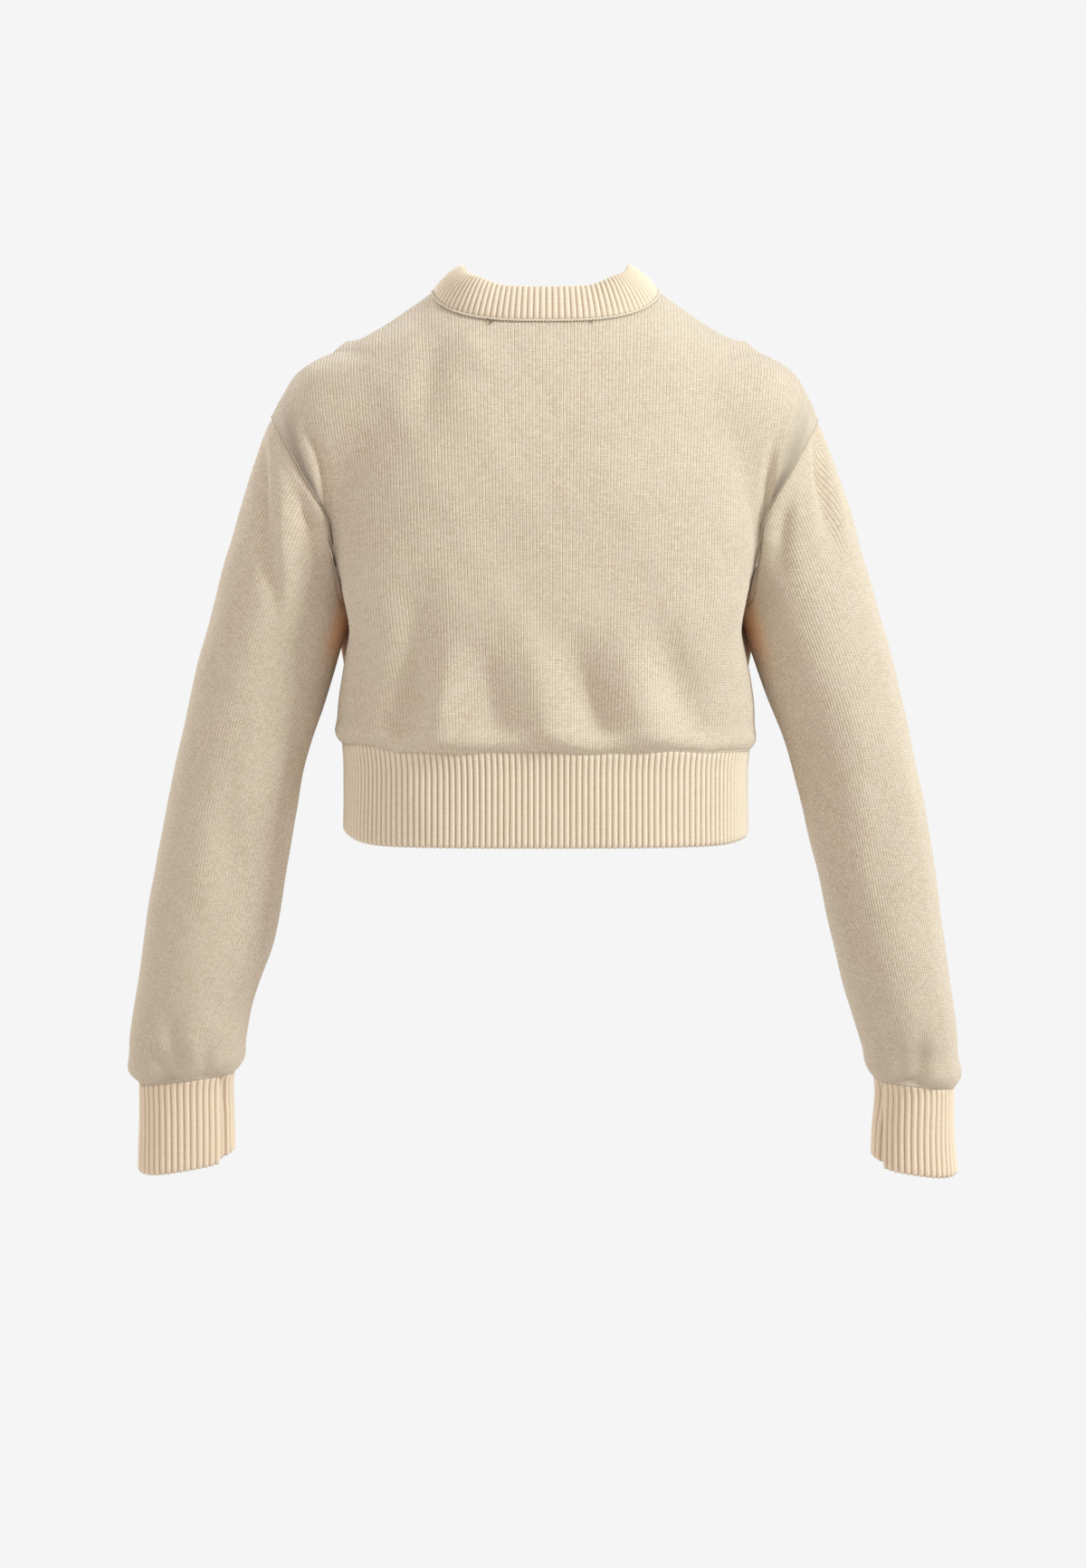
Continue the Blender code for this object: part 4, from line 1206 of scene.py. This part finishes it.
# ---- pieces of the sweater ----
def make_panel(name, face, folds, creases, material):
    grid = fine_panel(face)
    normals = normals_of(body_form, grid)
    down, across = run_of(grid, 0), run_of(grid, 1)
    from_top, from_foot = down, down[-1] - down
    from_side = np.minimum(across, across[:, -1:] - across)
    from_edge = np.minimum(np.minimum(from_top, from_foot), from_side)
    push = fold_push(grid, folds) + unevenness(grid, UNEVEN)
    push *= softly(from_edge / FOLD_FADE)
    push += fold_push(grid, creases) * softly(from_edge / CREASE_FADE)
    push += bloused(from_foot, *BODY_BLOUSE)
    beside = bell(from_side - SIDE_AT, SIDE_WIDTH)
    push += SIDE_PUSH[face] * beside * bell(grid[..., 2] - SIDE_LEVEL, SIDE_HEIGHT)
    underarm_z = side_seam("left", 1)[0, 2]
    on_armhole = softly((grid[:, :1, 2] - underarm_z) / ARMHOLE_TURN + 1)
    push += on_armhole * lipped(from_side) + (1 - on_armhole) * SIDE_SEAM * sunken(from_side)
    on_neck = np.abs(grid[:1, :, 0]) < NECK_HALF_WIDTH
    push += np.where(on_neck, NECK_DIP, SHOULDER_SEAM) * sunken(from_top)
    folded = grid + push[..., None] * normals
    height, wale = jersey_relief(grid.shape[1], False)
    near_seam = softly(np.minimum(from_side, from_top) / RELIEF_FADE)
    outer = relieved(folded, False, JERSEY_RELIEF * height[None] * near_seam, normals)
    # Painted bounce light: a warm glow painted in a strip beside the side seam, at the armpit.
    strip_at, strip_width = (0.0, BOUNCE_LIGHT_REACH) if face > 0 else BOUNCE_LIGHT_STRIP
    bounce_light = bell(from_side - strip_at, strip_width) * under_arm(grid[..., 2])
    courses = from_foot / JERSEY_COURSE
    return piece(
        name, outer, JERSEY_WALL, False, wale, courses, material, COARSE_PANEL, bounce_light
    )


def make_sleeve(side, material):
    grid = fine_sleeve(side)
    normals = normals_of(sleeve_form(side), grid)
    down = run_of(grid, 0)
    from_top, from_foot = down, down[-1] - down
    from_edge = np.minimum(from_top, from_foot)
    seen = {face: softly(normals[..., 1] * face / FOLD_TURN) for face in (1, -1)}
    push = sum(seen[face] * fold_push(grid, rows) for face, rows in SLEEVE_FOLDS[side].items())
    push = (push + unevenness(grid, UNEVEN)) * softly(from_edge / FOLD_FADE)
    for face, rows in SLEEVE_CREASES[side].items():
        push += seen[face] * fold_push(grid, rows) * softly(from_edge / CREASE_FADE)
    push += sunken(from_top) + bloused(from_foot, *SLEEVE_BLOUSE)
    folded = grid + push[..., None] * normals
    height, wale = jersey_relief(grid.shape[1], True)
    near_seam = softly(from_top / RELIEF_FADE)
    outer = relieved(folded, True, JERSEY_RELIEF * height[None] * near_seam, normals)
    # Painted bounce light: a warm glow painted on the sleeve's side that faces the body, at the
    # armpit.
    inwards = softly((-SIDES[side][1] * normals[..., 0] - BOUNCE_LIGHT_FROM) / BOUNCE_LIGHT_TURN)
    bounce_light = inwards * under_arm(grid[..., 2])
    courses = from_foot / JERSEY_COURSE
    name = "sleeve_" + side
    return piece(
        name, outer, JERSEY_WALL, True, wale, courses, material, COARSE_SLEEVE, bounce_light
    )


def make_rib(name, grid, form, closed_round, relief, grooves, material):
    """Hem rib or cuff: ridges that start rounded under the jersey and run to a soft edge."""
    normals = normals_of(form, grid)
    down = run_of(grid, 0)
    from_foot = down[-1] - down
    push = unevenness(grid, RIB_UNEVEN) * softly(down / FOLD_FADE)
    push -= RIB_WALL * RIB_EDGE_ROUND * (1 - softly(from_foot / RIB_EDGE))
    for face, x, width, depth, _ in grooves:
        push -= softly(normals[..., 1] * face / GROOVE_TURN) * depth * bell(grid[..., 0] - x, width)
    folded = grid + push[..., None] * normals
    height, rib = rib_relief(grid.shape[1])
    start = softly(down / RIB_START)
    if not closed_round:
        across = run_of(grid, 1)
        start = start * softly(np.minimum(across, across[:, -1:] - across) / RELIEF_FADE)
    outer = relieved(folded, closed_round, relief * height[None] * start, normals)
    # Painted bounce light: the cuffs take an even warm glow, the hem rib none.
    bounce_light = np.full(grid.shape[:2], CUFF_BOUNCE_LIGHT if closed_round else 0.0)
    courses = from_foot / RIB_COURSE
    return piece(
        name, outer, RIB_WALL, closed_round, rib, courses, material, COARSE_RIB, bounce_light
    )


def make_neck(material):
    """Neck rib: up the outside, over the fold and down the inside, ribs running over it."""
    half = NECK_RIBS * RIB_COLUMNS // 2
    base = np.concatenate([neck_half(1, half), neck_half(-1, half)[-2:0:-1]])
    normals = outward(body_form, base)
    angle = np.degrees(np.arctan2(np.abs(base[:, 0]), base[:, 1] - NECK_CENTRE_Y))
    height = smooth(COLLAR, "height", angle)
    stand = np.radians(smooth(COLLAR, "stand", angle))[:, None]
    across = np.cross(np.roll(base, -1, axis=0) - np.roll(base, 1, axis=0), normals)
    across /= np.linalg.norm(across, axis=1, keepdims=True)
    to_centre = np.array([0.0, NECK_CENTRE_Y, 0.0]) - base
    across *= np.sign((across * to_centre).sum())
    rise = across * np.cos(stand) + normals * np.sin(stand)
    away = normals * np.cos(stand) - across * np.sin(stand)
    places = np.array(COLLAR_PROFILE)
    rings = []
    for up, out in finer(places, np.linspace(0, len(places) - 1, COLLAR_MESH_ROWS + 1)):
        face = (1 - up) ** 2 * normals + (1 - (1 - up) ** 2) * away
        face /= np.linalg.norm(face, axis=1, keepdims=True)
        rings.append(base + up * height[:, None] * rise + out * face)
    grid = np.array(rings)
    ridges, rib = rib_relief(grid.shape[1])
    run = run_of(grid, 0)
    start = softly(np.minimum(run, run[-1] - run) / NECK_RIB_START)
    like = facing(grid, True)
    if (like[2] * away).sum() < 0:
        like = -like
    dip = -NECK_TUCK * (1 - softly(run / NECK_TUCK_REACH))
    outer = grid + (NECK_RELIEF * ridges[None] * start + dip)[..., None] * like
    return ring_piece("neck_rib", outer, rib, run / RIB_COURSE, material), base, normals, across


# ---- stitches ----
def tube(points, radii, sides=STRAND_SIDES):
    """Vertices and faces of a short closed strand through points."""
    points = np.array(points)
    ahead = np.gradient(points, axis=0)
    ahead /= np.linalg.norm(ahead, axis=1, keepdims=True)
    up = np.array([0.0, 0.0, 1.0])
    if abs(ahead[0] @ up) > UPRIGHT:
        up = np.array([0.0, 1.0, 0.0])
    side = np.cross(ahead, up)
    side /= np.linalg.norm(side, axis=1, keepdims=True)
    other = np.cross(side, ahead)
    turn = np.linspace(0, 2 * math.pi, sides, endpoint=False)
    rings = [
        p + r * (np.cos(turn)[:, None] * s + np.sin(turn)[:, None] * o)
        for p, r, s, o in zip(points, radii, side, other)
    ]
    faces = quads(len(points) - 1, sides, sides)[0][:, [0, 3, 2, 1]].tolist()
    faces.append(list(range(sides))[::-1])
    faces.append([(len(points) - 1) * sides + j for j in range(sides)])
    return np.concatenate(rings), faces


def strands(name, paths, material):
    """Many short strands of yarn as one mesh."""
    vertices, faces, count = [], [], 0
    for points, radii in paths:
        v, f = tube(points, radii)
        vertices.append(v)
        faces += [[i + count for i in face] for face in f]
        count += len(v)
    return add_piece(name, np.concatenate(vertices), faces, material)


def neck_chain(base, normals, across, material):
    """Linking stitches that join the neck rib to the body: a row of small slanting loops."""
    ring = np.concatenate([base, base[:1]])
    run = np.concatenate([[0.0], np.cumsum(np.linalg.norm(np.diff(ring, axis=0), axis=1))])
    count = int(run[-1] / LINK_PITCH)
    radii = [LINK_YARN * LINK_TAPER, LINK_YARN, LINK_YARN, LINK_YARN * LINK_TAPER]
    paths = []
    for i in range(count):
        at = (i + 0.5) / count * run[-1]
        k = min(np.searchsorted(run, at), len(base)) - 1
        t = (at - run[k]) / (run[k + 1] - run[k])
        here = (1 - t) * ring[k] + t * ring[k + 1]
        forward = ring[k + 1] - ring[k]
        forward = forward / np.linalg.norm(forward)
        out, inwards = normals[k % len(base)], across[k % len(base)]
        lift = LINK_LIFT + LINK_WOBBLE * math.sin(i * LINK_WOBBLE_STEP)
        for turn, shift in LINK_LOOPS:
            middle = here + forward * LINK_PITCH * shift + out * lift
            half = forward * LINK_PITCH * LINK_REACH + inwards * turn * LINK_PITCH * LINK_RISE
            ends = [middle + share * half for share in LINK_SHARES]
            points = [ends[0], ends[1] + out * LINK_YARN, ends[2] + out * LINK_YARN, ends[3]]
            paths.append((points, radii))
    return strands("neck_linking", paths, material)


def label_tacks(base, normals, across, material):
    """The few stitches of the inside label that show below the neck seam."""
    radii = [TACK_YARN * TACK_TAPER, TACK_YARN, TACK_YARN * TACK_TAPER]
    paths = []
    for x, low, size, lean in LABEL_TACKS:
        k = int(np.argmin(np.abs(base[:, 0] - x) + (base[:, 1] < 0) * 1.0))
        at = base[k] - across[k] * low + normals[k] * TACK_LIFT
        half = np.array([size / 2, 0.0, 0.0]) + across[k] * size * lean
        paths.append(([at - half, at + normals[k] * TACK_YARN, at + half], radii))
    return strands("label_tacks", paths, material)


# ---- wool ----
class Nodes:
    """A new material, with short ways to add nodes to it."""

    def __init__(self, name):
        self.material = bpy.data.materials.new(name)
        self.material.use_nodes = True
        self.tree = self.material.node_tree
        self.shader = self.tree.nodes["Principled BSDF"]
        self.place = self.add("ShaderNodeTexCoord").outputs["Object"]

    def feed(self, node, inputs):
        """Give sockets, by number or name, a value or a link."""
        for key, value in inputs.items():
            if isinstance(value, bpy.types.NodeSocket):
                self.tree.links.new(value, node.inputs[key])
            else:
                node.inputs[key].default_value = value

    def add(self, kind, inputs=(), **settings):
        made = self.tree.nodes.new(kind)
        for key, value in settings.items():
            setattr(made, key, value)
        self.feed(made, dict(inputs))
        return made

    def maths(self, operation, a, b=0.0, c=0.0):
        inputs = {0: a, 1: b, 2: c}
        return self.add("ShaderNodeMath", inputs, operation=operation).outputs[0]

    def noise(self, scale, detail, roughness):
        inputs = {"Vector": self.place, "Scale": scale, "Detail": detail, "Roughness": roughness}
        return self.add("ShaderNodeTexNoise", inputs).outputs["Fac"]

    def between(self, low, high, fac):
        """A mix of two colours, each a socket or three numbers."""
        ends = [c if isinstance(c, bpy.types.NodeSocket) else (*c, 1.0) for c in (low, high)]
        inputs = {0: fac, 6: ends[0], 7: ends[1]}
        return self.add("ShaderNodeMix", inputs, data_type="RGBA").outputs[2]

    def spread(self, value, low, high):
        inputs = {0: value, 1: low, 2: high}
        kind = "ShaderNodeMapRange"
        return self.add(kind, inputs, interpolation_type="SMOOTHSTEP").outputs[0]

    def finish(self, **inputs):
        self.feed(self.shader, {key.replace("_", " "): v for key, v in inputs.items()})
        return self.material


def wool(name, slant, stitch_share, depth, valley_shade, tones, heather_share):
    """Brushed wool knit: V stitches, fuzz, heather and a soft nap, all from nodes."""
    n = Nodes(name)
    maths = n.maths
    knit = n.add("ShaderNodeUVMap", uv_map="knit").outputs[0]
    split_uv = n.add("ShaderNodeSeparateXYZ", {0: knit})
    wobble = maths("MULTIPLY_ADD", n.noise(*LOOP_NOISE), LOOP_WOBBLE, -LOOP_WOBBLE / 2)
    course = maths("ADD", split_uv.outputs[1], wobble)
    in_wale = maths("FRACT", split_uv.outputs[0])
    from_middle = maths("MULTIPLY", maths("ABSOLUTE", maths("SUBTRACT", in_wale, 0.5)), 2.0)
    phase = maths("SUBTRACT", course, maths("MULTIPLY", from_middle, slant))
    loops = maths("COSINE", maths("MULTIPLY", phase, 2 * math.pi))
    loops = maths("MULTIPLY_ADD", loops, 0.5, 0.5)
    legs = maths("ABSOLUTE", maths("SINE", maths("MULTIPLY", in_wale, 2 * math.pi)))
    legs = maths("POWER", legs, 0.5)
    stitch = maths("MULTIPLY", legs, maths("MULTIPLY_ADD", loops, LOOP_DEPTH, 1 - LOOP_DEPTH))
    fuzz = n.noise(*FUZZ_NOISE)
    relief = maths("MULTIPLY_ADD", fuzz, FUZZ_SHARE, maths("MULTIPLY", stitch, stitch_share))
    relief = maths("MULTIPLY_ADD", n.noise(*LUMP_NOISE), LUMP_SHARE, relief)
    bump = n.add("ShaderNodeBump", {"Strength": BUMP_STRENGTH, "Distance": depth, "Height": relief})

    whole = n.add("ShaderNodeVectorMath", {0: knit}, operation="FLOOR").outputs[0]
    random = n.add("ShaderNodeTexWhiteNoise", noise_dimensions="2D")
    n.feed(random, {"Vector": whole})
    # Painted light and shade: the colour is darker in the valleys between wales and between loops
    # and lighter on their ridges, with random tone per stitch and fuzz.
    stitch_light, ridge_light, random_tone, base_tone = tones
    shade_and_tone = maths("MULTIPLY", n.spread(from_middle, 1.0, RIDGE_EDGE), ridge_light)
    shade_and_tone = maths("MULTIPLY_ADD", stitch, stitch_light, shade_and_tone)
    shade_and_tone = maths("MULTIPLY_ADD", random.outputs["Value"], random_tone, shade_and_tone)
    shade_and_tone = maths("MULTIPLY_ADD", fuzz, FUZZ_TONE, maths("ADD", shade_and_tone, base_tone))
    shade_and_tone.node.use_clamp = True
    colour = n.between(valley_shade, LIGHT, shade_and_tone)
    heather = n.spread(n.noise(*HEATHER_NOISE), *HEATHER_RANGE)
    colour = n.between(colour, PINK, maths("MULTIPLY", heather, heather_share))
    drift = n.spread(n.noise(*DRIFT_NOISE), *DRIFT_RANGE)
    colour = n.between(colour, DRIFT, maths("MULTIPLY", drift, DRIFT_SHARE))
    # Painted bounce light: the warm glow is mixed into the colour as much as each point's attribute
    # asks.
    bounce_light = n.add("ShaderNodeAttribute", attribute_name="bounce_light").outputs["Fac"]
    return n.finish(
        Base_Color=n.between(colour, BOUNCE_LIGHT_COLOUR, bounce_light),
        Roughness=maths("MULTIPLY_ADD", fuzz, ROUGH_SPREAD, ROUGH_LEAST),
        Normal=bump.outputs[0],
        Specular_IOR_Level=SPECULAR,
        Sheen_Weight=NAP,
        Sheen_Roughness=NAP_ROUGHNESS,
        Sheen_Tint=NAP_TINT,
    )


def thread(name, colour):
    """Plain sewing yarn with a twist."""
    n = Nodes(name)
    twist = n.noise(*TWIST_NOISE)
    bump = n.add("ShaderNodeBump", {"Distance": TWIST_DEPTH, "Height": twist})
    shade = n.between([c * TWIST_SHADE for c in colour], colour, twist)
    return n.finish(Base_Color=shade, Normal=bump.outputs[0], Roughness=YARN_ROUGHNESS)


# ---- studio ----
def aimed(obj, place, aim):
    obj.location = place
    direction = Vector(aim) - Vector(place)
    obj.rotation_euler = direction.to_track_quat("-Z", "Y").to_euler()
    bpy.context.scene.collection.objects.link(obj)


def cove_mesh():
    """Round floor that bends up into a wall."""
    profile = []
    for turn in np.linspace(0.0, math.pi / 2, COVE_STEPS + 1):
        radius = COVE_RADIUS - COVE_BEND * (1 - math.sin(turn))
        profile.append((radius, FLOOR + COVE_BEND * (1 - math.cos(turn))))
    profile.append((COVE_RADIUS, FLOOR + COVE_HEIGHT))
    turns = np.linspace(0.0, 2 * math.pi, COVE_SIDES, endpoint=False)
    vertices = [(0.0, 0.0, FLOOR)]
    vertices += [(r * math.cos(a), r * math.sin(a), z) for r, z in profile for a in turns]
    faces = [(0, 1 + j, 1 + (j + 1) % COVE_SIDES) for j in range(COVE_SIDES)]
    for k in range(len(profile) - 1):
        for j in range(COVE_SIDES):
            a, b = 1 + k * COVE_SIDES + j, 1 + k * COVE_SIDES + (j + 1) % COVE_SIDES
            faces.append((a, a + COVE_SIDES, b + COVE_SIDES, b))
    mesh = bpy.data.meshes.new("cove")
    mesh.from_pydata(vertices, [], faces)
    mesh.shade_smooth()
    return mesh


def studio():
    """Round pale cove with soft lamps, and the camera behind the sweater."""
    scene = bpy.context.scene
    mesh = cove_mesh()
    cove = bpy.data.objects.new("cove", mesh)
    paint = Nodes("cove_paint")
    mesh.materials.append(paint.finish(
        Base_Color=(0.0, 0.0, 0.0, 1.0),
        Roughness=1.0,
        Specular_IOR_Level=0.0,
        Emission_Color=(1.0, 1.0, 1.0, 1.0),
        Emission_Strength=COVE_GLOW,
    ))
    scene.collection.objects.link(cove)

    scene.world = bpy.data.worlds.new("studio")
    scene.world.use_nodes = True
    sky = scene.world.node_tree.nodes["Background"]
    sky.inputs["Color"].default_value = (1.0, 1.0, 1.0, 1.0)
    sky.inputs["Strength"].default_value = SKY
    for name, place, aim, size, power, colour in LAMPS:
        data = bpy.data.lights.new(name, "AREA")
        data.shape = "DISK"
        data.size, data.energy, data.color = size, power, colour
        lamp = bpy.data.objects.new(name, data)
        lamp.visible_camera = False
        aimed(lamp, place, aim)

    data = bpy.data.cameras.new("camera")
    data.sensor_width = SENSOR_WIDTH
    data.lens = SENSOR_WIDTH / 2 * CAMERA_DISTANCE / (PICTURE_HEIGHT / 2)
    camera = bpy.data.objects.new("camera", data)
    aimed(camera, (PICTURE_X, CAMERA_DISTANCE, CAMERA_Z), (PICTURE_X, 0.0, PICTURE_Z))
    scene.camera = camera
    scene.view_settings.view_transform = "Standard"


def main():
    jersey, rib = wool(*JERSEY_WOOL), wool(*RIB_WOOL)
    made = {
        "back_panel": make_panel("back_panel", 1, BACK_FOLDS, BACK_CREASES, jersey),
        "front_panel": make_panel("front_panel", -1, FRONT_FOLDS, FRONT_CREASES, jersey),
    }
    for side in SIDES:
        made["sleeve_" + side] = make_sleeve(side, jersey)
    for name, face in (("hem_rib_back", 1), ("hem_rib_front", -1)):
        made[name] = make_rib(name, fine_hem(face), torso, False, HEM_RELIEF, [], rib)
    for side, grooves in CUFF_GROOVES.items():
        name, form = "cuff_" + side, sleeve_form(side)
        made[name] = make_rib(name, fine_cuff(side), form, True, CUFF_RELIEF, grooves, rib)
    made["neck_rib"], base, normals, across = make_neck(rib)
    neck_chain(base, normals, across, thread("linking_yarn", YARN))
    label_tacks(base, normals, across, thread("tack_yarn", TACK))
    studio()


main()
